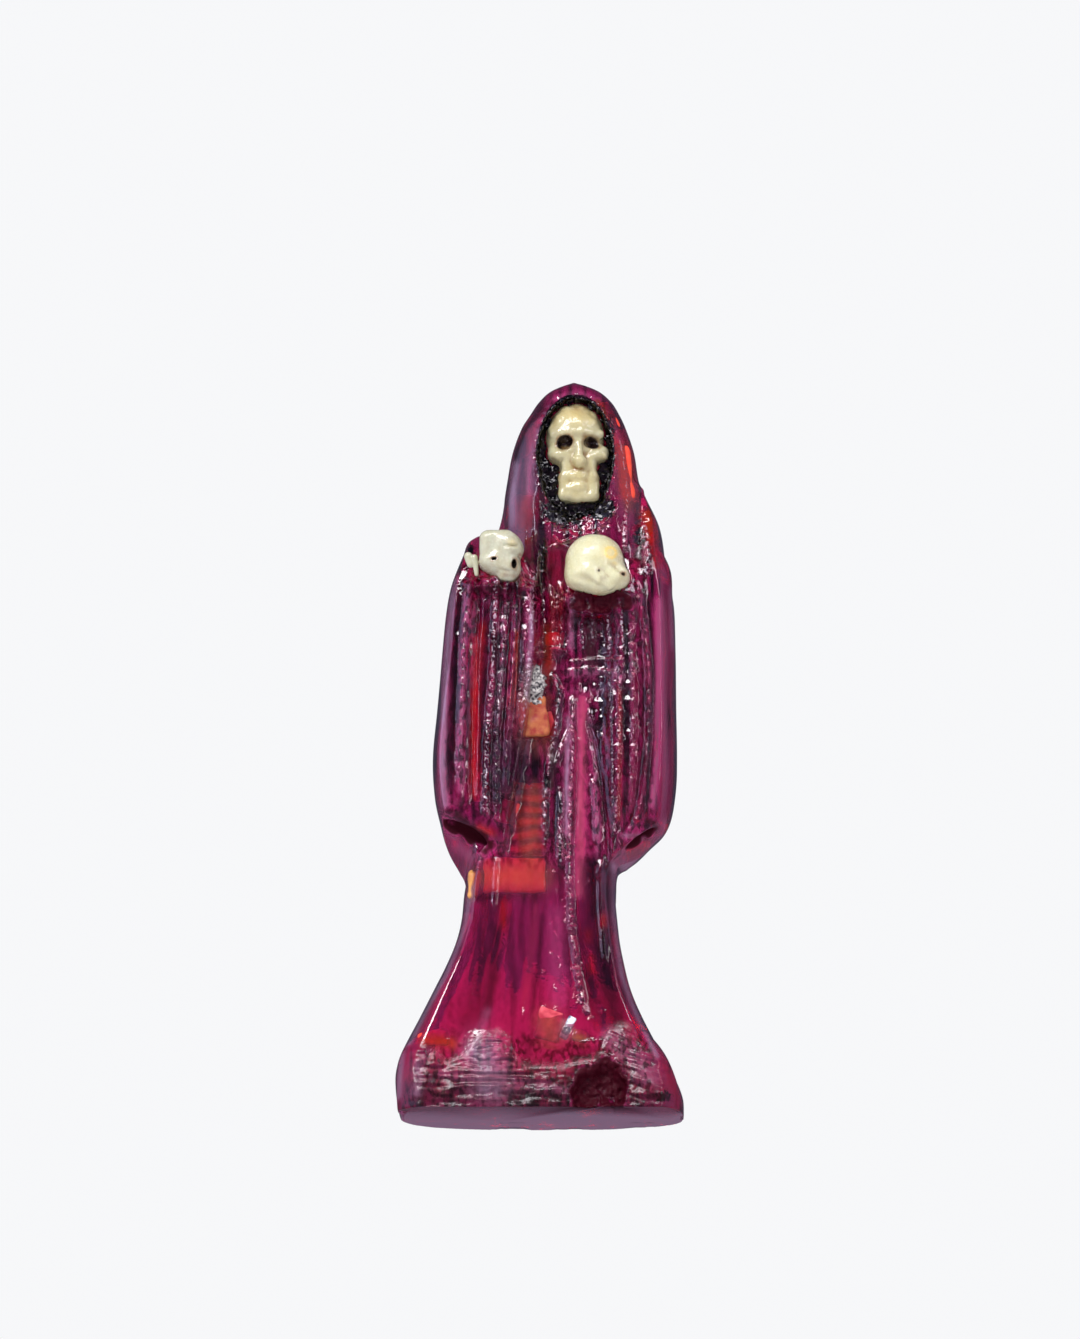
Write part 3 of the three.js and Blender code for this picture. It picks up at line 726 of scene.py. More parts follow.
def left_skull_clay():
    clay = Clay((-6.2, -4.6, -5), (4.6, 4.4, 5), SKULL_STEP)
    clay.join(block((-0.45, 0.4, 0.82), (2.35, 3, 2.6), 1.1), 0.1)
    clay.join(ellipsoid((0.8, -0.2, 1), (2.2, 2.7, 2.3)), 0.9)
    clay.join(ellipsoid((1.65, -0.4, 0.9), (1.4, 2.3, 1.5), -0.15), 1.2)
    clay.join(ellipsoid((0.1, -0.3, -1.2), (2.6, 2.7, 1.7), 0.22), 0.7)
    clay.join(ellipsoid((1.2, -0.7, -1.7), (1.5, 2.3, 1.75)), 0.7)
    clay.join(block((0.9, -0.8, -2.75), (1, 1.4, 0.6), 0.45, 0.1), 0.6)
    clay.cut(ellipsoid((1.75, -3.2, 1.1), (0.8, 0.7, 0.18)), 0.4)
    clay.cut(ellipsoid((0.5, -3.6, 1.2), (0.22, 0.3, 0.8), -0.3), 0.5)
    clay.cut(ellipsoid((3.15, -1.4, -0.2), (0.55, 1.3, 0.22)), 0.4)
    clay.cut(rod((-2.7, -2.85, -0.7), (-1.2, -3, -0.72), 0.1, 0.1), 0.25)
    clay.cut(rod((-1.4, -2.9, -2.2), (1.5, -3, -2.5), 0.16, 0.16), 0.4)
    for pit in LEFT_SKULL_PITS:
        clay.cut(pit, 0.15)
    clay.join(rod((-4.35, -0.3, 0), (-4.05, -0.5, -1.1), 0.62, 0.5), 0.1)
    clay.join(rod((-3.5, -0.5, -0.2), (-3.2, -0.7, -2.5), 0.48, 0.3), 0.14)
    x, y, z = clay.whole()
    clay.field += 0.06 * noise(x / 1.1 + y / 2, z / 1.1, 43)
    return clay


def right_skull_clay():
    clay = Clay((-5.8, -5.2, -5.8), (5.8, 5.4, 5.4), SKULL_STEP)
    clay.join(ellipsoid((-0.25, 0.3, 0.35), (4.05, 4, 3.85)), 0.1)
    clay.join(ellipsoid((-1.5, 0, -1.5), (2.9, 3.4, 2.35)), 0.8)
    clay.join(ellipsoid((2.5, -0.5, -1.8), (2.05, 2.8, 1.95)), 0.8)
    clay.join(ellipsoid((0.6, -0.8, -3), (2.3, 2.4, 1.35)), 0.5)
    clay.join(rod((-1.2, -3.1, -1.3), (0.5, -3.3, -2.3), 0.62, 0.5), 0.7)
    clay.join(rod((0.5, -3.2, -2.4), (1.8, -2.6, -3.3), 0.5, 0.4), 0.6)
    crease = [(-0.35, -4.2, 0), (0.32, -4.1, -1.3), (1, -3.9, -2.4), (2.2, -3.2, -3.3)]
    for start, end in zip(crease, crease[1:]):
        clay.cut(rod(start, end, 0.24, 0.28), 0.5)
    clay.cut(ellipsoid((-2.5, -3.6, -2.5), (1.1, 0.6, 0.45), 0.2), 0.7)
    clay.cut(ellipsoid((3.1, -3, -0.9), (0.9, 0.5, 0.35), 0.5), 0.6)
    for pit in RIGHT_SKULL_PITS:
        clay.cut(pit, 0.18)
    x, y, z = clay.whole()
    clay.field += 0.06 * noise(x / 1.6 + y / 2, z / 1.4, 44) + 0.02 * noise(x / 0.55, z / 0.55, 45)
    return clay


class Ivory(NamedTuple):
    """An ivory piece: the node it replaces, its slot, which is not used, its shape, the pits in it, and
    where it sits.
    """
    name: str
    node: str
    slot: str
    make: object
    pits: list
    origin: tuple


FACE_PLACE = (5.2, -4.9, 90.4)
LEFT_SKULL_PLACE = (-5.5, -9.2, 75.2)
RIGHT_SKULL_PLACE = (7.75, -8.8, 74.2)

IVORY = [
    Ivory("face_ivory_skull", "face_skull", "face_ivory", face_clay, FACE_PITS, FACE_PLACE),
    Ivory(
        "left_ivory_skull", "left_skull", "skull_ivory",
        left_skull_clay, LEFT_SKULL_PITS, LEFT_SKULL_PLACE,
    ),
    Ivory(
        "right_ivory_skull", "right_skull", "skull_ivory",
        right_skull_clay, RIGHT_SKULL_PITS, RIGHT_SKULL_PLACE,
    ),
]


def figure_clay(ivory_clays):
    clay = Clay((-21, -14.4, -0.9), (21, 14.4, 101), FIGURE_STEP)
    clay.join(column(GOWN), 0.1)
    clay.join(column(CAPE), 1.2)
    clay.join(column(HOOD), 1.5)
    for fold in HEM_FOLDS:
        clay.join(carved(fold), 1)
    clay.join(RIGHT_FOREARM, 1.5)
    clay.join(column(LEFT_SLEEVE), 1.6)
    clay.join(column(RIGHT_SLEEVE), 2)
    for palm in PALMS:
        clay.join(carved(palm), 0.8)
    x, y, z = clay.whole()
    clay.field -= back_relief(x, z) * ramp(2, 6, y)
    clay.field -= 0.1 * noise(y / 4.5, z / 7, 51)
    clay.cut(FACE_RECESS, 0.5)
    clay.cut(THROAT, 1.2)
    for hollow in NICHE:
        clay.cut(hollow, 0.4)
    clay.cut(UNDER_SKULL, 0.5)
    for hollow in SLEEVE_HOLLOWS:
        clay.cut(hollow, 0.4)
    for piece, cast in zip(IVORY, ivory_clays):
        seat(clay, cast, piece.origin)
    rough = [FACE_RECESS, THROAT, *NICHE, UNDER_SKULL, *PALMS]
    crumbs = ramp(1, 0.2, functools.reduce(np.minimum, (hollow.distance(x, y, z) for hollow in rough)))
    crumbs *= ramp(0.5, -1.5, y)
    clay.field -= crumbs * (0.2 * noise(x / 0.5, z / 0.5, 52) + 0.1 * noise(x / 0.3, z / 0.3, 53))
    clay.field = np.maximum(clay.field, -z)
    return clay


def seat(clay, cast, origin):
    """Cuts room for an ivory piece, a small gap larger than the piece."""
    low = cast.low + np.array(origin)
    high = np.array([axis[-1] for axis in cast.axes]) + np.array(origin)
    here, (x, y, z) = clay.part(low, high)
    cells = np.stack(np.broadcast_arrays(x, y, z), axis=-1).reshape(-1, 3)
    cells = (cells - low) / cast.step
    within = np.all((cells >= 0) & (cells <= np.array(cast.field.shape) - 1), axis=1)
    room = np.full(len(cells), FAR, dtype=np.float32)
    room[within] = look_up(cast.field, cells[within])
    room = room.reshape(clay.field[here].shape) - SEAT_GAP
    clay.field[here] = np.maximum(clay.field[here], -room)


def carved_places(points):
    """How rough the surface is: 1 on the carved front, 0 on the smooth sides, hood and back."""
    x, y, z = points.T
    front = ramp(-3.5, -6, y) * ramp(-14.2, -12.6, x + 0.35 * np.maximum(17 - z, 0)) * ramp(16, 15, x)
    return front * (0.35 + 0.65 * ramp(80, 74, z)) * (1 - 0.75 * ramp(34, 30, z) * ramp(9, 11, z))


def patches(points, spots):
    """The strongest of some soft round spots (x, z, reach across, reach up, strength) at each point."""
    x, _, z = points.T
    amount = np.zeros(len(points))
    for cx, cz, across, up, strength in spots:
        amount = np.maximum(amount, strength * np.exp(-(((x - cx) / across) ** 2 + ((z - cz) / up) ** 2)))
    return amount


# Where black grime lies on the resin, as (x, z, reach across, reach up, strength)
GRIME = [
    (9.7, 93, 0.9, 4.4, 0.7), (3, 82.6, 3, 2.2, 1.1), (8.2, 83, 2.4, 1.9, 1.1),
    (0.4, 76, 1, 5.5, 0.62), (-0.6, 71, 0.9, 5, 0.55), (13.8, 79, 1.4, 2.6, 0.65),
    (16.6, 78.5, 0.8, 3.5, 0.5), (-6, 71.6, 3.6, 1, 0.5), (-9.6, 77, 0.7, 2, 0.8), (8.6, 22, 0.8, 5, 0.5),
    (1, 45.2, 0.5, 1.4, 0.9), (16.8, 1.6, 1.8, 1.2, 0.7), (-12.5, 33.8, 1.4, 1.6, 0.5),
]


def grime_on(points):
    """Where black grime lies: in the spots above, and on the lining of the hood and the throat."""
    x, y, z = points.T
    amount = patches(np.stack([x, y, as_seen(z)], axis=1), GRIME) * (y < -1)
    lining = np.minimum(FACE_RECESS.distance(x, y, z), THROAT.distance(x, y, z) + 0.3 + ramp(80.5, 79, z))
    return np.maximum(amount, 0.95 * ramp(0.6, 0.1, lining))


DYES = {
    "crimson": (0.98, 0.038, 0.32), "plum": (0.035, 0.004, 0.036), "navy": (0.008, 0.006, 0.03),
    # Black is painted shade, in hollows under the skulls, up the sleeves, in the chest and at the hem.
    "black": (0, 0, 0), "rose": (1, 0.06, 0.28), "red": (1, 0.02, 0.02), "orange": (1, 0.14, 0.035),
    # Lilac is a painted sheen, standing in for reflections on crests, rims and bead rows.
    "mauve": (0.42, 0.13, 0.24), "lilac_sheen": (0.4, 0.29, 0.42), "maroon": (0.05, 0.001, 0.006),
    "glass": (1, 0.28, 0.22), "amber": (1, 0.5, 0.2), "clear": (0.9, 0.85, 0.85),
    # The pale colour at the end of the next line is a painted glint, for the bead tops.
    "dusty": (0.72, 0.1, 0.21), "dusk": (0.34, 0.06, 0.1), "painted_glint": (0.85, 0.78, 0.88),
    # The dark colour at the end of the next line is painted shade, for the niche, the hollows and under the
    # right skull.
    "mottle": (0.012, 0.001, 0.008), "grime": (0, 0, 0.001), "dull_shade": (0.05, 0.0015, 0.008),
}
MILKY_DYES = ("lilac_sheen", "mauve", "dusty")

# Bands of dye in the front, as (dye, line, half width, strength), each over the ones before it.
# The lilac bands are a painted sheen along crests, rims and bead rows; the black ones are painted shade in
# hollows.
BANDS = [
    # hood and shoulders
    ("dusk", [(-0.6, 96), (-2.4, 90), (-3, 84), (-3, 78)], 2.2, 0.75),
    ("dusk", [(11, 96), (12.6, 90)], 1.2, 0.6),
    ("plum", [(-3.6, 92), (-4.4, 86), (-4.6, 80)], 1, 0.9),
    ("lilac_sheen", [(-3.4, 89.5), (-3.9, 85), (-3.9, 81.5)], 0.7, 0.8),
    ("plum", [(-2, 93), (-2.8, 86), (-2.9, 80)], 0.3, 0.8),
    ("plum", [(-0.4, 93), (-0.9, 86), (-1, 78)], 0.35, 0.8),
    ("mauve", [(0.6, 95), (-1.2, 90), (-1.4, 85)], 0.7, 0.8),
    ("plum", [(0.2, 97.5), (-1.8, 94), (-2.6, 90)], 0.6, 0.8),
    ("red", [(-1.6, 83.5), (-2, 79.5)], 1.3, 0.7),
    ("mauve", [(2, 98.2), (5, 99.2), (8, 98)], 0.5, 0.6),
    ("plum", [(9.6, 97.6), (12, 93), (12.8, 89.5)], 0.8, 0.7),
    ("orange", [(8, 97.6), (9.4, 95), (10, 92.5)], 0.6, 0.9),
    ("red", [(10.6, 92), (11.2, 88), (11.6, 85)], 0.8, 0.9),
    ("orange", [(11.4, 91), (11.9, 87), (12.4, 83.8)], 1.2, 1),
    ("navy", [(13.2, 83.6), (13.4, 81), (13.4, 78.5)], 0.6, 0.9),
    ("orange", [(14.4, 82.5), (15.2, 79)], 0.9, 1),
    ("red", [(15.5, 79.5), (15.9, 75)], 0.6, 0.9),
    ("navy", [(17.2, 81), (17.6, 76)], 0.6, 0.9),
    ("navy", [(0, 80.5), (-0.2, 76), (0, 72)], 0.9, 0.9),
    ("red", [(2.2, 78), (2.2, 72), (2, 66)], 1.2, 0.6),
    ("plum", [(13.6, 77), (14.2, 74)], 0.8, 0.8),
    # left sleeve
    ("lilac_sheen", [(-11.8, 73), (-12.9, 62), (-13.4, 48), (-13, 42)], 0.65, 1),
    ("plum", [(-11, 72), (-11.8, 62), (-12.2, 50), (-12.2, 44)], 0.55, 0.95),
    ("mauve", [(-9.7, 71.5), (-10.3, 64), (-10.7, 56), (-10.9, 44)], 0.45, 0.9),
    ("plum", [(-7.6, 69.5), (-7.4, 64), (-7.8, 56), (-8.2, 50)], 0.6, 0.9),
    ("red", [(-8, 66.5), (-8.85, 57.6), (-9.2, 46.2), (-9.3, 43.4)], 0.72, 1),
    ("navy", [(-9.5, 66), (-9.9, 57), (-10.1, 45)], 0.17, 0.9),
    ("black", [(-8.4, 71.4), (-5, 71)], 1.1, 0.9),
    ("mauve", [(-5.3, 67), (-5.5, 60), (-5.9, 54)], 0.5, 0.7),
    ("navy", [(-4.3, 70), (-4.5, 60), (-4.8, 54)], 0.22, 0.9),
    ("orange", [(-3.1, 65.5), (-3.3, 60), (-3.8, 56)], 0.4, 0.7),
    ("navy", [(-2.4, 71), (-2.5, 60)], 0.4, 0.8),
    ("lilac_sheen", [(-1, 71.5), (-1.2, 65), (-1.6, 61)], 0.5, 0.9),
    ("orange", [(0.9, 66.5), (1.1, 62), (0.7, 59)], 0.9, 0.8),
    ("plum", [(-6.2, 51), (-6.2, 43)], 1.9, 0.9),
    ("plum", [(-2.8, 50.5), (-3.4, 44.5)], 1.9, 0.85),
    ("orange", [(1.2, 57), (0.6, 51)], 0.5, 0.8),
    ("black", [(1.6, 49.5), (1.7, 44.5)], 0.6, 0.95),
    ("red", [(-2.6, 42.5), (-2.6, 36)], 1.9, 0.5),
    ("black", [(-11.4, 40.6), (-9.4, 38.8), (-7.4, 37.9)], 0.75, 1),
    ("red", [(-8.2, 39), (-6.2, 38)], 0.6, 0.9),
    ("mauve", [(-13, 40), (-11, 36.6), (-8, 34.6)], 0.6, 0.7),
    ("glass", [(-1.2, 55.2), (-0.6, 51.8)], 2.7, 0.85),
    ("mauve", [(2.6, 54.5), (2.2, 49)], 0.35, 0.8),
    ("clear", [(-0.9, 59.8), (-0.9, 56)], 1.3, 1),
    ("glass", [(-1.2, 43.5), (-1.2, 35)], 1.7, 0.9),
    # chest
    ("red", [(2.3, 70), (2.2, 64.4)], 0.8, 0.6),
    ("lilac_sheen", [(4.3, 70), (4.3, 64)], 0.6, 0.7),
    ("plum", [(8, 67), (8, 60)], 2.6, 0.8),
    ("black", [(4.6, 69.6), (8.5, 69), (12.6, 69.8)], 0.9, 1),
    ("black", [(6.8, 67), (7, 62)], 1.3, 0.9),
    ("mauve", [(4, 60.3), (8, 60.4), (12, 59.5)], 0.8, 0.8),
    ("mauve", [(4, 57.8), (8, 58), (10, 57.5)], 0.5, 0.5),
    # the panel down from the waist, and the folds beside it
    ("dusty", [(5.8, 56.5), (5.6, 50), (5.6, 40), (5.4, 30)], 0.95, 0.95),
    ("mauve", [(6.8, 54), (7.5, 48), (7.9, 40), (7.9, 34)], 0.4, 0.9),
    ("plum", [(7.2, 55.5), (8.2, 49), (9.4, 42), (10.2, 37)], 0.45, 0.95),
    ("lilac_sheen", [(3.9, 54), (3.7, 48), (3.6, 38)], 0.5, 0.8),
    ("plum", [(2.4, 56), (2.2, 48), (2.2, 38)], 0.5, 0.5),
    # right sleeve
    ("plum", [(9.5, 60), (9.8, 50), (10, 42)], 0.5, 0.8),
    ("red", [(10.9, 57.5), (11, 50), (10.8, 40)], 0.35, 1),
    ("plum", [(11.9, 66), (12, 52), (11.9, 42)], 0.35, 0.7),
    ("rose", [(12.9, 60), (13, 50), (12.8, 42)], 0.5, 0.6),
    ("navy", [(14.8, 71), (15.5, 62), (15.4, 56), (14.8, 47)], 0.32, 0.95),
    ("mauve", [(16.2, 70), (16.3, 60), (16, 48), (15.4, 42)], 0.55, 0.9),
    ("rose", [(17.3, 70), (17.3, 55), (16.9, 43)], 0.45, 0.7),
    ("lilac_sheen", [(18.1, 72), (18.2, 64)], 0.4, 0.7),
    ("navy", [(18.6, 62), (18.7, 50), (18.2, 42)], 0.25, 0.8),
    ("black", [(14.8, 39.8), (16.2, 39.2)], 0.7, 1),
    ("lilac_sheen", [(11.4, 37.8), (14, 37.8)], 0.4, 0.8),
    ("red", [(12.5, 36), (14.8, 36.6)], 0.8, 0.9),
    # skirt
    ("glass", [(-7, 32.2), (0, 32.2)], 2, 1),
    ("amber", [(-9.4, 33), (-9.5, 29.4)], 0.6, 1),
    ("plum", [(-11, 27), (-12.8, 21), (-15.2, 15), (-17.8, 10)], 0.7, 0.9),
    ("lilac_sheen", [(-9.5, 31), (-10.2, 26), (-11.6, 22.3), (-13, 18.7), (-15.4, 14.5), (-17.9, 9.4)], 0.5, 0.9),
    ("plum", [(-8.6, 29.4), (0.4, 29.3)], 0.45, 0.9),
    ("plum", [(-6.8, 29), (-7.6, 21), (-9.8, 12)], 1.7, 0.65),
    ("navy", [(-5.6, 25), (-6.4, 18), (-7.6, 13)], 0.8, 0.8),
    ("red", [(-5, 28.4), (-5, 25.8)], 0.6, 1),
    ("mauve", [(-7.2, 13.5), (-9.4, 8)], 0.7, 0.6),
    ("rose", [(-0.6, 28), (-1.3, 20), (-2.2, 14.6)], 0.6, 1),
    ("plum", [(0.4, 27), (-0.2, 20), (-1, 14)], 0.35, 0.7),
    ("mauve", [(2.2, 27), (2.6, 15)], 1.4, 0.4),
    ("navy", [(7.9, 33), (8.1, 26), (8.8, 18), (10.6, 11)], 2.1, 0.8),
    ("plum", [(5.7, 25), (6.2, 14)], 1.1, 0.6),
    ("navy", [(7.2, 34), (7.3, 27)], 1.1, 0.9),
    ("plum", [(9.3, 34), (9.2, 28)], 0.7, 0.8),
    ("plum", [(6.5, 19), (7.5, 12)], 0.9, 0.7),
    ("navy", [(8.9, 24.6), (9.2, 18), (10.6, 12)], 1.1, 0.95),
    ("red", [(8.8, 26.6), (8.7, 25.7)], 0.5, 1),
    ("red", [(6.8, 24.2), (6.8, 23.7)], 0.4, 1),
    ("red", [(6.9, 21.5), (6.8, 19)], 0.35, 0.9),
    ("lilac_sheen", [(10.1, 34), (10.2, 27), (11.2, 19), (12.6, 15), (14.2, 11.2), (16, 7.2)], 0.45, 0.9),
    ("plum", [(10.9, 30), (11.5, 22), (13.2, 15.8), (15.6, 10)], 0.35, 0.9),
    ("glass", [(1, 12.4), (1.6, 9.8)], 1.7, 1),
    ("clear", [(3.3, 11.8), (3.9, 10.2)], 0.6, 1),
    ("orange", [(-15.6, 9.4), (-12, 9)], 0.9, 1),
    ("amber", [(5.2, 9.9), (6, 9.4)], 0.6, 0.9),
    # hem
    ("maroon", [(-16.5, 3), (15, 2.6)], 3.4, 0.75),
    ("maroon", [(9.5, 9), (13.5, 6)], 2, 0.6),
    ("lilac_sheen", [(-8, 7.6), (-7.4, 6.5), (-6.8, 3.4)], 3, 0.85),
    ("lilac_sheen", [(-16.6, 6), (-16.8, 2)], 0.8, 0.6),
    ("mauve", [(-13.5, 4.6), (-2, 3.2), (4, 2.6)], 0.9, 0.6),
    ("mauve", [(9.5, 9.8), (13, 7), (15, 4)], 1.6, 0.8),
    # Painted shade in the niche.
    ("maroon", [(6.2, 3.4), (9.8, 3.5)], 2.1, 1),
    ("lilac_sheen", [(-19, 8), (-19.4, 2)], 0.6, 0.8),
    ("black", [(14.8, 1.5), (17.4, 1.5)], 0.6, 0.9),
]


def dyed(points, hollow):
    """The resin's colour at each point, and how mottled, milky and matt it is there.

    It is crimson with dark streaks, darkened in its hollows as painted shade, and the bands of dye lie over
    that: the lilac ones are a painted sheen, the black ones painted shade that also makes the resin matt.
    The pale ones aren't mottled.
    """
    x, y, z = points.T
    z = as_seen(z)
    front = ramp(0, -3, y)
    fine = noise(x / 0.55, z / 8, 81) + 0.6 * noise(x / 0.35, z / 3, 82)
    streaks = front * fine + 0.4 * noise(x / 5 + y / 4, z / 9, 83)
    skirt = ramp(35, 31, z) * ramp(8, 11, z)
    dark = (ramp(-0.1, 0.9, streaks) * (1 - 0.55 * skirt))[:, None]
    colour = np.array(DYES["crimson"]) * (1 - dark) + np.array(DYES["plum"]) * dark
    plain, milky, dull_shade = np.zeros((3, len(points)))
    for dye, line, width, strength in BANDS:
        gap, _ = line_gap(x, z, line)
        share = strength * front * np.exp(-(gap / width) ** 2.5) * (0.85 + 0.15 * noise(x / 0.6, z / 2, 84))
        colour += share[:, None] * (np.array(DYES[dye]) - colour)
        plain = np.maximum(plain, share * (sum(DYES[dye]) > 1))
        milky = np.maximum(milky * (1 - share), share * (dye in MILKY_DYES))
        # The black bands lie in hollows as painted shade, which is also made matt.
        dull_shade = np.maximum(dull_shade, 0.7 * share * (dye == "black"))
    # Painted shade: the resin is darkened where the carving is hollow.
    groove_shade = 0.7 * ramp(0.05, 0.5, hollow) * front * (1 - plain) * (1 - 0.6 * skirt)
    return colour * (1 - groove_shade)[:, None], 1 - plain, milky, dull_shade


def dull_shade_places(points):
    """1 in the niche, under the right skull and up the sleeves, where the resin is matt and painted dark
    maroon as shade.
    """
    x, _, z = points.T
    hollows = [*NICHE, *SLEEVE_HOLLOWS, UNDER_SKULL]
    distance = np.min([hollow.distance(*points.T) for hollow in hollows], axis=0)
    return ramp(0.7, 0.1, distance + 0.5 * noise(x / 1.1, z / 1.1, 86))


# Pale specks on the skirt, like bubbles just under its surface: small lumps with pale painted glints,
# between two corners in x and z
BUBBLES = 90
BUBBLES_LOW, BUBBLES_HIGH = (0.4, 9), (8.4, 33)
BUBBLE_RADIUS = 0.2236


def beads_on(points):
    """Where beads stand, with pale painted glints: 1 on the most beaded ridges, and in spots on the skirt.
    """
    x, y, z = points.T
    z = as_seen(z)
    amount = np.zeros(len(points))
    for line, width, _, beads in RIDGES:
        gap, _ = line_gap(x, z, line)
        amount = np.maximum(amount, (1.8 * beads - 0.3) * np.exp(-(gap / width) ** 2))
    spots = np.random.default_rng(5).uniform(BUBBLES_LOW, BUBBLES_HIGH, (BUBBLES, 2))
    for px, pz in spots:
        amount = np.maximum(amount, 0.9 * np.exp(-((x - px) ** 2 + (z - pz) ** 2) / BUBBLE_RADIUS ** 2))
    return amount * ramp(-1, -4, y)


# Materials

def new_material(name):
    material = bpy.data.materials.new(name)
    material.use_nodes = True
    tree = material.node_tree
    return material, tree, tree.nodes["Principled BSDF"]


def feed(tree, owner, inputs):
    """Sets some of a node's inputs, or links them where the value is another node's socket."""
    for name, value in inputs.items():
        socket = owner.inputs[name]
        if isinstance(value, bpy.types.NodeSocket):
            tree.links.new(value, socket)
        else:
            socket.default_value = value


def node(tree, kind, inputs):
    made = tree.nodes.new(kind)
    feed(tree, made, inputs)
    return made


def mixed(tree, factor, first, second):
    """Mix of two colours or colour sockets."""
    mix = tree.nodes.new("ShaderNodeMix")
    mix.data_type = "RGBA"
    first, second = ((*colour, 1) if isinstance(colour, tuple) else colour for colour in (first, second))
    feed(tree, mix, {0: factor, 6: first, 7: second})  # the colour sockets share their names with others
    return mix.outputs[2]


def ranged(tree, value, low, high, to_low=0.0, to_high=1.0):
    """The range from low to high made into another range, and held within it."""
    limits = {"From Min": low, "From Max": high, "To Min": to_low, "To Max": to_high}
    return node(tree, "ShaderNodeMapRange", {"Value": value, **limits}).outputs["Result"]


def object_place(tree):
    return tree.nodes.new("ShaderNodeTexCoord").outputs["Object"]


def speckle(tree, size, detail=3.0, stretch=(1, 1, 1)):
    """Noise over the object, with bumps about size shares across."""
    scale = tuple(1 / (SHARE * size * s) for s in stretch)
    place = node(tree, "ShaderNodeMapping", {"Vector": object_place(tree), "Scale": scale}).outputs[0]
    return node(tree, "ShaderNodeTexNoise", {"Vector": place, "Scale": 1, "Detail": detail}).outputs["Fac"]


def bump(tree, shader, height, depth):
    """Roughens a shader's surface; depth is in shares."""
    made = node(tree, "ShaderNodeBump", {"Height": height, "Strength": 1, "Distance": depth * SHARE})
    tree.links.new(made.outputs[0], shader.inputs["Normal"])


def attribute(tree, name, output="Fac"):
    made = tree.nodes.new("ShaderNodeAttribute")
    made.attribute_name = name
    return made.outputs[output]


def math_node(tree, operation, first, second):
    made = node(tree, "ShaderNodeMath", {0: first, 1: second})
    made.operation = operation
    return made.outputs[0]


def plus(tree, first, second):
    return math_node(tree, "ADD", first, second)


def minus(tree, first, second):
    return math_node(tree, "SUBTRACT", first, second)


def times(tree, first, second):
    return math_node(tree, "MULTIPLY", first, second)


def resin_tint(tree, painted_glint, grime, dull_shade):
    """The dye painted on the surface, mottled, with pale painted glints on the bead tops, black where grime
    lies and dark maroon painted shade in the hollows.
    """
    mottle = ranged(tree, speckle(tree, 0.6, stretch=(1, 1, 1.8)), 0.56, 0.4, 0, 0.85)
    mottle = times(tree, mottle, attribute(tree, "mottled"))
    tint = mixed(tree, mottle, attribute(tree, "dye", "Color"), DYES["mottle"])
    tint = mixed(tree, painted_glint, tint, DYES["painted_glint"])
    crumbs = ranged(tree, minus(tree, grime, speckle(tree, 0.42, detail=4)), -0.14, 0.1)
    tint = mixed(tree, crumbs, tint, DYES["grime"])
    return mixed(tree, dull_shade, tint, DYES["dull_shade"])


RESIN_DEPTH = 20
LIGHT_LEFT = (0.52, 0.006, 0.075)  # of red, green and blue light, after that depth of resin


def absorb(tree):
    """Gives a clear material its absorption, which makes it darker where it is thicker."""
    per_metre = [-math.log(left) / (RESIN_DEPTH * SHARE) for left in LIGHT_LEFT]
    density = max(per_metre) * 1.02  # the colour has to stay above 0
    colour = (*(1 - v / density for v in per_metre), 1)
    absorbs = node(tree, "ShaderNodeVolumeAbsorption", {"Color": colour, "Density": density})
    tree.links.new(absorbs.outputs[0], tree.nodes["Material Output"].inputs["Volume"])


def resin_material():
    """Clear dark red resin under a clear coat: its red comes from what it absorbs and from dye in it. It is
    also painted with glints on its beads and with dark, matt shade in its hollows.
    """
    material, tree, shader = new_material("clear_red_resin")
    carved, beads, grime, worn, dull_shade, milky = (
        attribute(tree, name) for name in ("carved", "beads", "grime", "worn", "dull_shade", "milky")
    )
    lumps = speckle(tree, 0.42, detail=1)
    scratches = speckle(tree, 0.3, detail=2, stretch=(1, 1, 1.6))
    # Pale colour painted on the bead tops as glints.
    painted_glint = times(tree, ranged(tree, lumps, 0.54, 0.61), ranged(tree, beads, 0.45, 0.9, 0, 0.8))
    matt = math_node(tree, "MAXIMUM", ranged(tree, dull_shade, 0, 1, 0, 0.5), ranged(tree, worn, 0, 1, 0, 0.26))
    coat = minus(tree, ranged(tree, grime, 0.3, 0.9, 1, 0.25), dull_shade)
    coat = minus(tree, coat, ranged(tree, worn, 0, 1, 0, 0.9))
    clear = minus(tree, ranged(tree, milky, 0, 1, 0.85, 0.35), dull_shade)
    clear = minus(tree, clear, times(tree, painted_glint, 0.6))
    feed(tree, shader, {
        "Base Color": resin_tint(tree, painted_glint, grime, dull_shade),
        "Roughness": plus(tree, ranged(tree, scratches, 0.3, 0.7, 0.015, 0.06), matt),
        "IOR": 1.52,
        "Specular IOR Level": ranged(tree, dull_shade, 0, 1, 0.5, 0.1),
        "Transmission Weight": ranged(tree, clear, 0, 1),
        "Coat Weight": ranged(tree, coat, 0, 1),
        "Coat Roughness": 0.03,
        "Coat IOR": 1.6,
    })
    scratch_height = plus(tree, ranged(tree, carved, 0, 1, 0.06, 0.16), times(tree, grime, 1.5))
    lump_height = plus(tree, times(tree, carved, 0.9), ranged(tree, beads, 0, 1, 0, 4.5))
    lump_height = plus(tree, lump_height, times(tree, grime, 2.5))
    height = plus(tree, times(tree, scratches, scratch_height), times(tree, lumps, lump_height))
    bump(tree, shader, height, 0.05)
    absorb(tree)
    return material


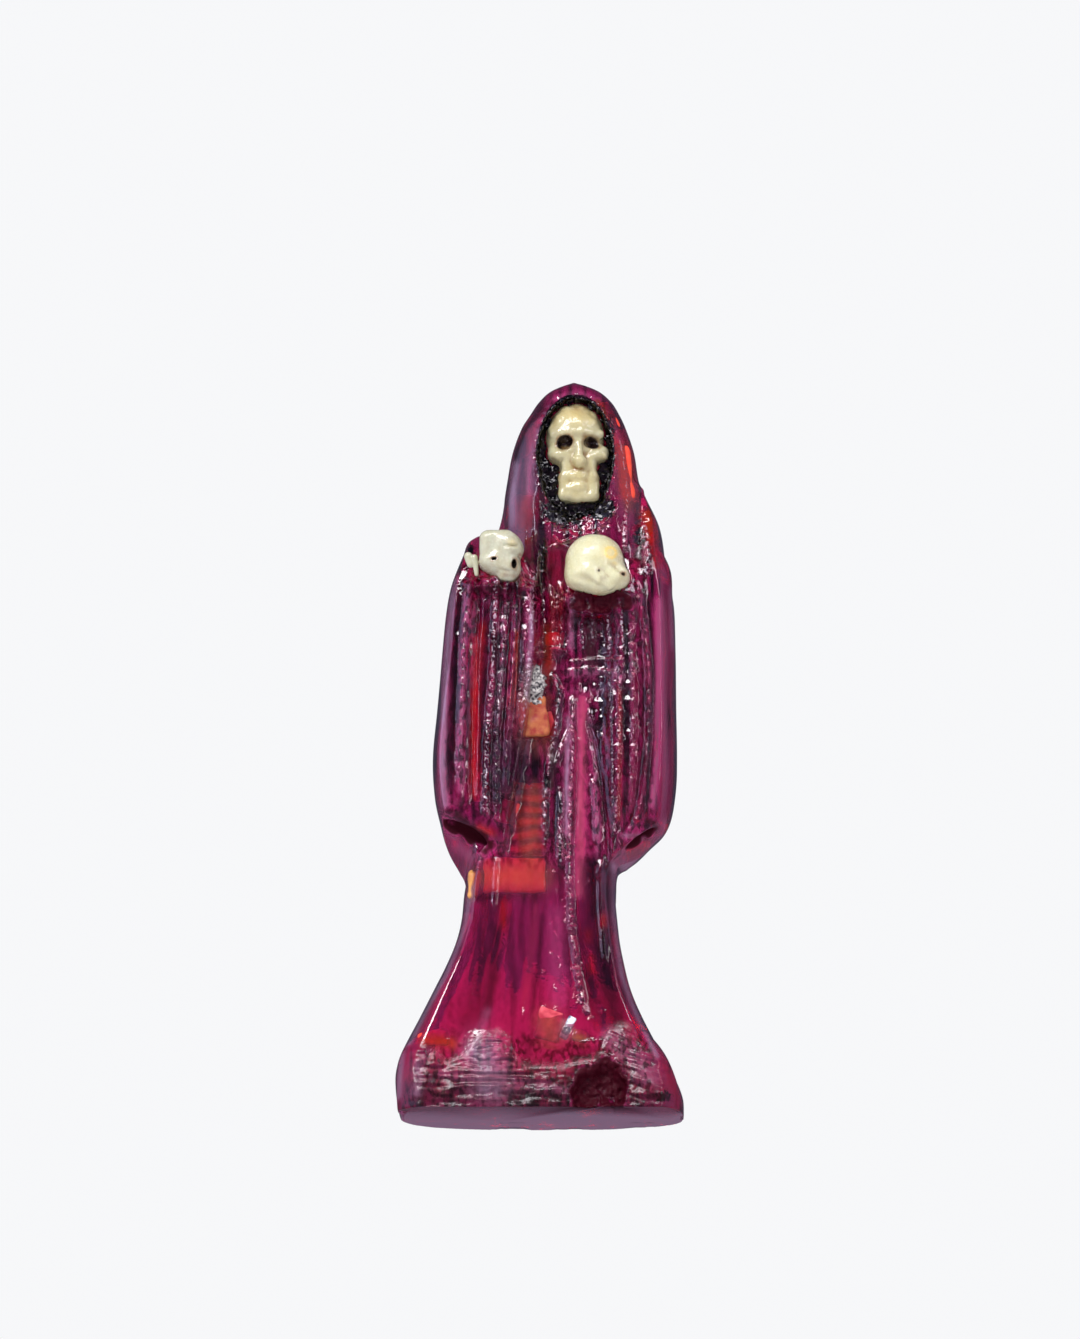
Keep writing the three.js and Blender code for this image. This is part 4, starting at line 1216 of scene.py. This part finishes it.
def ivory_material(name, bone, wash, gloss):
    """Ivory-coloured cast with a brown wash held in its hollows."""
    material, tree, shader = new_material(name)
    stained = tuple(c * part for c, part in zip(bone, (0.93, 0.9, 0.8)))
    colour = mixed(tree, ranged(tree, speckle(tree, 1.4), 0.35, 0.7), bone, stained)
    colour = mixed(tree, attribute(tree, "yellow"), colour, (1, 0.72, 0.12))
    blotched = ranged(tree, speckle(tree, 0.9), 0.35, 0.65, 0.35, 1.35)
    colour = mixed(tree, times(tree, attribute(tree, "wash"), blotched), colour, wash)
    grain = speckle(tree, 0.35)
    feed(tree, shader, {
        "Base Color": mixed(tree, attribute(tree, "pit"), colour, (0.012, 0.006, 0.005)),
        "Roughness": ranged(tree, grain, 0.3, 0.7, gloss, gloss + 0.2),
        "Subsurface Weight": 0.12,
        "Subsurface Radius": (1, 0.7, 0.4),
        "Subsurface Scale": 0.5 * SHARE,
        "Coat Weight": 0.55,
        "Coat Roughness": 0.06,
    })
    bump(tree, shader, grain, 0.05)
    return material


WAVES = 3.2  # how many stripes a wave texture of scale 1 has in a unit of length


def inclusion_material(name, first, second, stripe):
    """Coloured piece sealed in the resin, mottled, or striped across if stripe is the stripes' spacing."""
    material, tree, shader = new_material(name)
    pattern = ranged(tree, speckle(tree, 1.1), 0.35, 0.65)
    if stripe:
        scale = 1 / (SHARE * stripe * WAVES)
        inputs = {"Vector": object_place(tree), "Scale": scale, "Distortion": 4}
        wave = node(tree, "ShaderNodeTexWave", inputs)
        wave.bands_direction = "Z"
        pattern = ranged(tree, wave.outputs["Fac"], 0.1, 0.9)
    feed(tree, shader, {"Base Color": mixed(tree, pattern, first, second), "Roughness": 0.5})
    return material


# Pieces sealed in the resin

class Sealed(NamedTuple):
    """A thin plate or lump: its middle, half sizes, tilt and material."""
    name: str
    centre: tuple
    half: tuple
    tilt: float
    look: str


SEALED = [
    Sealed("orange_band", (-3.5, -6.9, 32.1), (4.3, 0.5, 2.4), 0.0, "orange_red"),
    Sealed("tan_chip", (-9.1, -5.6, 31), (0.8, 1.2, 1.9), 0.1, "tan"),
    Sealed("striped_block", (-1.6, -6.4, 39.8), (2.3, 0.6, 5), 0.03, "striped_red"),
    Sealed("red_shard", (-4.4, -7.3, 40.6), (1.3, 0.5, 1.6), 0.3, "deep_red"),
    Sealed("indigo_block", (-4, -5.9, 47.2), (3.9, 0.9, 3.4), -0.05, "indigo"),
    Sealed("orange_patch", (1.2, -7, 52.6), (1, 0.5, 1.8), -0.3, "deep_red"),
    Sealed("tan_patch", (-0.9, -8, 53.5), (2, 0.5, 2.6), -0.1, "orange"),
    Sealed("red_stripe", (-8.9, -8.2, 53.4), (0.75, 0.45, 11.5), -0.045, "bright_red"),
    Sealed("red_sliver", (-3.9, -6.4, 60), (0.4, 0.4, 5), -0.05, "bright_red"),
    Sealed("red_wedge", (1.9, -6.2, 64.4), (1.1, 0.4, 0.9), 0.0, "bright_red"),
    Sealed("orange_fleck", (0.5, -6, 60.6), (1.3, 0.5, 1.1), 0.3, "orange"),
    Sealed("hood_red", (11.3, -4.5, 87.4), (1.3, 0.8, 3.8), -0.15, "orange_red"),
    Sealed("hood_left_red", (-1.7, -4.4, 82), (1.3, 0.6, 2.4), 0.05, "deep_red"),
    Sealed("hood_top_red", (9.5, -4.7, 95), (0.7, 0.6, 1.9), -0.5, "orange_red"),
    Sealed("shoulder_red", (15.2, -3.1, 80), (0.8, 0.6, 2.2), -0.3, "orange_red"),
    Sealed("left_glow", (-14.6, -8.8, 9.5), (2.3, 0.9, 1.1), -0.05, "orange_red"),
    Sealed("pink_blob", (1.3, -9.4, 11.4), (1.7, 0.5, 2.2), 0.25, "pink_red"),
    Sealed("yellow_grain", (5.5, -9.2, 9.8), (1, 0.7, 0.7), 0.2, "yellow"),
    Sealed("side_red", (14, -5.6, 9.6), (0.8, 0.8, 1.3), -0.5, "orange_red"),
    Sealed("underside_red", (-0.5, 1, 1.4), (5, 3.2, 0.5), 0.0, "deep_red"),
]

# Two colours of each look, and the spacing of its stripes, if it has any
LOOKS = {
    "orange_red": ((1, 0.1, 0.04), (0.95, 0.06, 0.03), 0),
    "orange": ((0.5, 0.17, 0.05), (0.33, 0.03, 0.02), 0),
    "bright_red": ((1, 0.05, 0.04), (0.75, 0.02, 0.03), 0),
    "deep_red": ((0.6, 0.03, 0.03), (0.4, 0.01, 0.03), 0),
    "pink_red": ((0.85, 0.12, 0.15), (0.55, 0.02, 0.05), 0),
    "tan": ((0.75, 0.38, 0.1), (0.6, 0.25, 0.08), 0),
    "yellow": ((0.9, 0.6, 0.08), (0.75, 0.4, 0.06), 0),
    "indigo": ((0.035, 0.02, 0.06), (0.12, 0.05, 0.12), 0),
    "striped_red": ((0.75, 0.045, 0.035), (0.16, 0.01, 0.025), 1.7),
}


def sealed_piece(item, number, materials):
    """A rough-edged rounded block, no two alike."""
    reach = max(item.half) + 0.6
    step = max(min(item.half) / 3, 0.12)
    clay = Clay((-reach,) * 3, (reach,) * 3, step)
    corner = min(item.half) * 0.6
    clay.join(block((0, 0, 0), item.half, corner, item.tilt), 0.1)
    x, y, z = clay.whole()
    clay.field += 0.35 * min(item.half) * noise(x / 1.3 + number, z / 1.3 + y / 2, 71 + number)
    piece = mesh_of(clay, item.name, item.centre)
    piece.data.materials.append(materials[item.look])
    return piece


def nugget():
    """The grey and black gravelly lump in the chest, just under the surface."""
    clay = Clay((-3, -2, -4), (3, 2, 4), 0.14)
    clay.join(ellipsoid((0, 0, 0), (1.6, 1, 2.8)), 0.1)
    x, y, z = clay.whole()
    clay.field += 0.25 * noise(x / 0.5 + y, z / 0.5, 91) + 0.12 * noise(x / 0.3, z / 0.3 + y, 92)
    piece = mesh_of(clay, "grey_nugget", (-0.9, -8.1, 57.9))
    material, tree, shader = new_material("grey_gravel")
    grains = ranged(tree, speckle(tree, 0.4, detail=4), 0.4, 0.6)
    feed(tree, shader, {"Base Color": mixed(tree, grains, (0.03, 0.03, 0.035), (0.55, 0.56, 0.5))})
    piece.data.materials.append(material)
    return piece


def sliver():
    """The white and blue sliver low in the skirt."""
    clay = Clay((-2, -1.2, -2.4), (2, 1.2, 2.4), 0.1)
    clay.join(block((0, 0, 0), (0.6, 0.35, 1.7), 0.25, 0.45), 0.1)
    piece = mesh_of(clay, "white_blue_sliver", (3.8, -9.8, 11))
    material, tree, shader = new_material("white_blue")
    patchy = ranged(tree, speckle(tree, 1.2), 0.42, 0.58)
    feed(tree, shader, {"Base Color": mixed(tree, patchy, (0.85, 0.95, 1.0), (0.02, 0.03, 0.12))})
    piece.data.materials.append(material)
    return piece


# The scene

# Each ivory piece's material: name, colour, colour of the wash and least roughness
IVORY_LOOKS = {
    "face_skull": ("face_ivory", (0.49, 0.5, 0.3), (0.25, 0.15, 0.05), 0.1),
    "left_skull": ("left_skull_ivory", (0.55, 0.62, 0.45), (0.35, 0.28, 0.17), 0.14),
    "right_skull": ("right_skull_ivory", (0.69, 0.73, 0.46), (0.4, 0.3, 0.17), 0.14),
}


def build_ivory():
    """Makes the three ivory pieces, and returns the clays that their seats are cut with."""
    clays = [piece.make() for piece in IVORY]
    for clay, item in zip(clays, IVORY):
        piece = mesh_of(clay, item.name, item.origin)
        points = points_of(piece) - np.array(item.origin)
        hollow = hollowness(clay, points, 0.5)
        depth = np.min([pit.distance(*points.T) for pit in item.pits], axis=0)
        paint(piece, "pit", ramp(0.12, -0.02, depth))
        wash, yellow = STAINS[item.node]
        wash = patches(points, wash) + ramp(0.04, 0.45, hollow) * 0.7 + 0.6 * ramp(0.4, 0.1, depth)
        # The wash also grows towards the back of each piece.
        paint(piece, "wash", np.maximum(wash, 0.7 * ramp(0.4, 1.6, points[:, 1])))
        paint(piece, "yellow", patches(points, yellow))
        piece.data.materials.append(ivory_material(*IVORY_LOOKS[item.node]))
        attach(piece, "root")
        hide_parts(item.node)
    return clays


# The brown wash and the yellow stains on each ivory piece, as spots for patches, in the piece's own frame
STAINS = {
    "face_skull": (
        [
            (-3.5, -2.2, 0.7, 0.9, 0.7), (3.7, -2.3, 0.7, 0.9, 0.6), (-2.6, -4, 0.5, 1.4, 0.5),
            (2.9, -3.6, 0.5, 1.6, 0.4), (-0.9, 1.7, 0.5, 0.4, 0.6), (0.9, 1.7, 0.5, 0.4, 0.55),
            (-0.2, 5.6, 3.4, 0.9, 0.45), (0.3, -2.9, 1.3, 0.3, 0.4), (2.9, 4.4, 0.6, 1.5, 0.4),
            (-3.3, 3.6, 0.6, 1.6, 0.4), (-1.2, -0.8, 0.5, 0.5, 0.3), (1.4, -0.6, 0.4, 0.5, 0.3),
            (-1.3, 3.6, 0.5, 0.3, 0.3),
        ],
        [(0, 4.6, 3, 1.6, 0.25), (0, -4, 2.6, 3, 0.15)],
    ),
    "left_skull": (
        [
            (1, -2.9, 1.8, 0.5, 0.75), (1.95, -1.3, 0.6, 0.95, 0.85), (1.75, 1.5, 0.6, 0.35, 0.45),
            (2.8, -0.1, 0.4, 0.5, 0.5), (-1.8, -0.72, 0.7, 0.16, 0.5), (-1, -2.5, 1.6, 0.35, 0.5),
            (0.4, 1.5, 0.35, 0.6, 0.2), (-3.75, -1.2, 0.12, 1.2, 0.3), (-2.9, -2.7, 0.4, 0.4, 0.6),
            (0, 0, 8, 8, 0.3),
        ],
        [(1.7, 1.5, 0.7, 0.5, 0.25)],
    ),
    "right_skull": (
        [
            (3.65, -1.6, 0.5, 0.45, 0.5), (0.35, -1.36, 0.3, 0.3, 0.5), (1, -2.5, 0.5, 0.6, 0.25),
            (-2.3, -2.2, 1.2, 0.5, 0.16), (0.5, -4.4, 2, 0.4, 0.3),
        ],
        # a ring round a paler middle
        [(1.95 + 0.72 * math.cos(a / 2), 1.2 + 0.72 * math.sin(a / 2), 0.3, 0.3, 0.75) for a in range(13)]
        + [(1.95, 1.2, 1.3, 1.3, 0.3), (2.5, -0.2, 0.5, 0.35, 0.35)],
    ),
}


def shade_underside_flat(body):
    polygons = body.data.polygons
    normals = np.empty(len(polygons) * 3, dtype=np.float32)
    polygons.foreach_get("normal", normals)
    polygons.foreach_set("use_smooth", normals[2::3] > FACING_DOWN)


def build_figure(ivory_clays):
    """Makes the resin figure, with its dye and what its material reads painted on its vertices."""
    clay = figure_clay(ivory_clays)
    body = mesh_of(clay, "resin_body", most=MOST_TRIANGLES)
    points = points_of(body)
    x, y, z = points.T
    carved = carved_places(points)
    colours = np.ones((len(points), 4), dtype=np.float32)
    colours[:, :3], mottled, milky, dull_shade = dyed(points, hollowness(clay, points, 0.7))
    body.data.attributes.new("dye", "FLOAT_COLOR", "POINT").data.foreach_set("color", colours.ravel())
    paint(body, "carved", carved)
    paint(body, "grime", grime_on(points))
    paint(body, "beads", beads_on(points))
    paint(body, "worn", ramp(1.4, 0.7, as_seen(z) - hem_top(x)) * ramp(-4, -7, y))
    paint(body, "mottled", mottled * carved)
    paint(body, "milky", milky)
    # Painted shade: the resin is dark and matt in the niche, the sleeves' hollows, under the right skull
    # and in the black bands.
    paint(body, "dull_shade", np.maximum(dull_shade, dull_shade_places(points)))
    shade_underside_flat(body)
    body.data.materials.append(resin_material())
    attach(body, "root")
    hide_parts("resin_figure")


def build_sealed():
    materials = {name: inclusion_material(name, *look) for name, look in LOOKS.items()}
    pieces = [sealed_piece(item, i, materials) for i, item in enumerate(SEALED)]
    for piece in pieces + [nugget(), sliver()]:
        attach(piece, "root")


# The photograph looks up at the figure from a little below its base, so that the underside shows.
CAMERA_ELEVATION = math.radians(-8.5)
CAMERA_DISTANCE = 2400  # in shares
VIEW_HEIGHT = 181.2  # what the frame takes in at the figure, in shares
VIEW_CENTRE = (0, 0, 61.2)
FLOOR_REACH = 900
FLOOR_CORNERS = 96
FLOOR_OVERLAP = 0.35  # how far the floor reaches in under the base's edge

# The surround: what the camera sees behind the figure, what lights it and shines through it from behind and
# from the front, what is reflected from the front, the left and the right, and what lies below for both
BACKDROP = (0.93, 0.935, 0.95)
BACK_THROUGH = (0.8, 0.76, 1.0)
FRONT_THROUGH = (0.52, 0.43, 0.53)
FRONT_SURROUND = (0.05, 0.045, 0.07)
LEFT_SURROUND = (0.6, 0.55, 0.95)
RIGHT_SURROUND = (0.35, 0.3, 0.5)
BELOW_SURROUND = (0.24, 0.15, 0.24)

# Each light is (name, place, height that it is aimed at, width and height, watts, colour)
LIGHTS = [
    ("left_window", (-267, -368, 410), 55, (215, 215), 2.1, (1, 0.95, 1)),
    ("high_window", (-48, -342, 496), 55, (150, 115), 0.7, (1, 0.97, 1)),
    ("right_window", (323, -323, 370), 50, (125, 190), 0.36, (0.95, 0.88, 1)),
    ("left_strip", (-410, -287, 100), 50, (18, 260), 0.1, (0.85, 0.8, 1)),
    ("right_strip", (290, -320, 120), 50, (18, 260), 0.1, (1, 0.97, 1)),
]


def make_camera():
    data = bpy.data.cameras.new("camera")
    camera = in_scene("camera", data)
    away = (0, -CAMERA_DISTANCE * math.cos(CAMERA_ELEVATION), CAMERA_DISTANCE * math.sin(CAMERA_ELEVATION))
    camera.location = [SHARE * (centre + v) for centre, v in zip(VIEW_CENTRE, away)]
    camera.rotation_euler = (math.pi / 2 - CAMERA_ELEVATION, 0, 0)
    data.sensor_fit = "VERTICAL"
    data.sensor_height = data.sensor_width
    data.lens = data.sensor_width * CAMERA_DISTANCE / VIEW_HEIGHT
    data.clip_start = 0.1
    data.clip_end = 10
    bpy.context.scene.camera = camera


def base_outline(count, inward):
    """Points round the underside's edge, a little inside it."""
    left, right, face, back = (float(GOWN[side](0.0)) for side in ("left", "right", "face", "back"))
    across, deep, power = (right - left) / 2 - inward, (back - face) / 2 - inward, GOWN["power"]
    points = []
    for i in range(count):
        angle = 2 * math.pi * i / count
        c, s = math.cos(angle), math.sin(angle)
        scale = (abs(c) ** power + abs(s) ** power) ** (-1 / power)
        bulge = GOWN["bulge"] if s < 0 else 1
        x = (left + right) / 2 + c * scale * across
        y = max((face + back) / 2 + s * scale * deep * bulge, face + inward)
        points.append((x * STRETCH[0], y * STRETCH[1], 0))
    return points


def make_floor():
    """Pale floor with an opening under the figure. From below, where the camera is, it is clear."""
    count = FLOOR_CORNERS
    inner = base_outline(count, FLOOR_OVERLAP)
    reach = FLOOR_REACH * SHARE
    angles = [2 * math.pi * i / count for i in range(count)]
    outer = [(reach * math.cos(angle), reach * math.sin(angle), 0) for angle in angles]
    faces = [(count + i, count + (i + 1) % count, (i + 1) % count, i) for i in range(count)]
    mesh = bpy.data.meshes.new("floor")
    mesh.from_pydata(inner + outer, [], faces)
    floor = in_scene("floor", mesh)
    floor.visible_glossy = False  # the photographed figure doesn't mirror a lit floor
    material, tree, shader = new_material("pale_floor")
    feed(tree, shader, {"Base Color": (0.86, 0.86, 0.86, 1), "Roughness": 0.9})
    lower_side = tree.nodes.new("ShaderNodeNewGeometry").outputs["Backfacing"]
    clear = tree.nodes.new("ShaderNodeBsdfTransparent")
    sides = node(tree, "ShaderNodeMixShader", {0: lower_side, 1: shader.outputs[0], 2: clear.outputs[0]})
    tree.links.new(sides.outputs[0], tree.nodes["Material Output"].inputs["Surface"])
    mesh.materials.append(material)


def area_light(name, place, aim_height, size, power, colour):
    data = bpy.data.lights.new(name, "AREA")
    data.shape = "RECTANGLE"
    data.size, data.size_y = (v * SHARE for v in size)
    data.energy = power
    data.color = colour
    light = in_scene(name, data)
    light.location = [v * SHARE for v in place]
    aim = np.array((0.0, 0.0, aim_height)) - np.array(place)
    tip = math.acos(-aim[2] / np.linalg.norm(aim))
    light.rotation_euler = (tip, 0, math.atan2(aim[0], -aim[1]) + math.pi)


def make_world():
    """The surround, which differs by the kind of ray and by its direction."""
    world = bpy.data.worlds.new("studio")
    bpy.context.scene.world = world
    world.use_nodes = True
    tree = world.node_tree
    direction = tree.nodes.new("ShaderNodeTexCoord").outputs["Generated"]
    x, y, z = node(tree, "ShaderNodeSeparateXYZ", {"Vector": direction}).outputs
    reflected = mixed(tree, ranged(tree, x, -0.65, -0.97), FRONT_SURROUND, LEFT_SURROUND)
    reflected = mixed(tree, ranged(tree, x, 0.7, 0.98), reflected, RIGHT_SURROUND)
    through = mixed(tree, ranged(tree, y, 0.2, 0.9), FRONT_THROUGH, BACK_THROUGH)
    ray = tree.nodes.new("ShaderNodeLightPath").outputs
    surround = mixed(tree, ray["Is Glossy Ray"], through, reflected)
    surround = mixed(tree, ranged(tree, z, -0.12, 0), BELOW_SURROUND, surround)
    surround = mixed(tree, ray["Is Camera Ray"], surround, BACKDROP)
    tree.links.new(surround, tree.nodes["Background"].inputs["Color"])


def render_settings():
    scene = bpy.context.scene
    scene.view_settings.view_transform = "Standard"
    scene.view_settings.look = "None"
    scene.cycles.use_denoising = True
    scene.cycles.max_bounces = 16
    scene.cycles.transmission_bounces = 12
    scene.cycles.sample_clamp_indirect = 14


make_camera()
make_floor()
make_world()
for light in LIGHTS:
    area_light(*light)
render_settings()
ivory_clays = build_ivory()
build_figure(ivory_clays)
build_sealed()
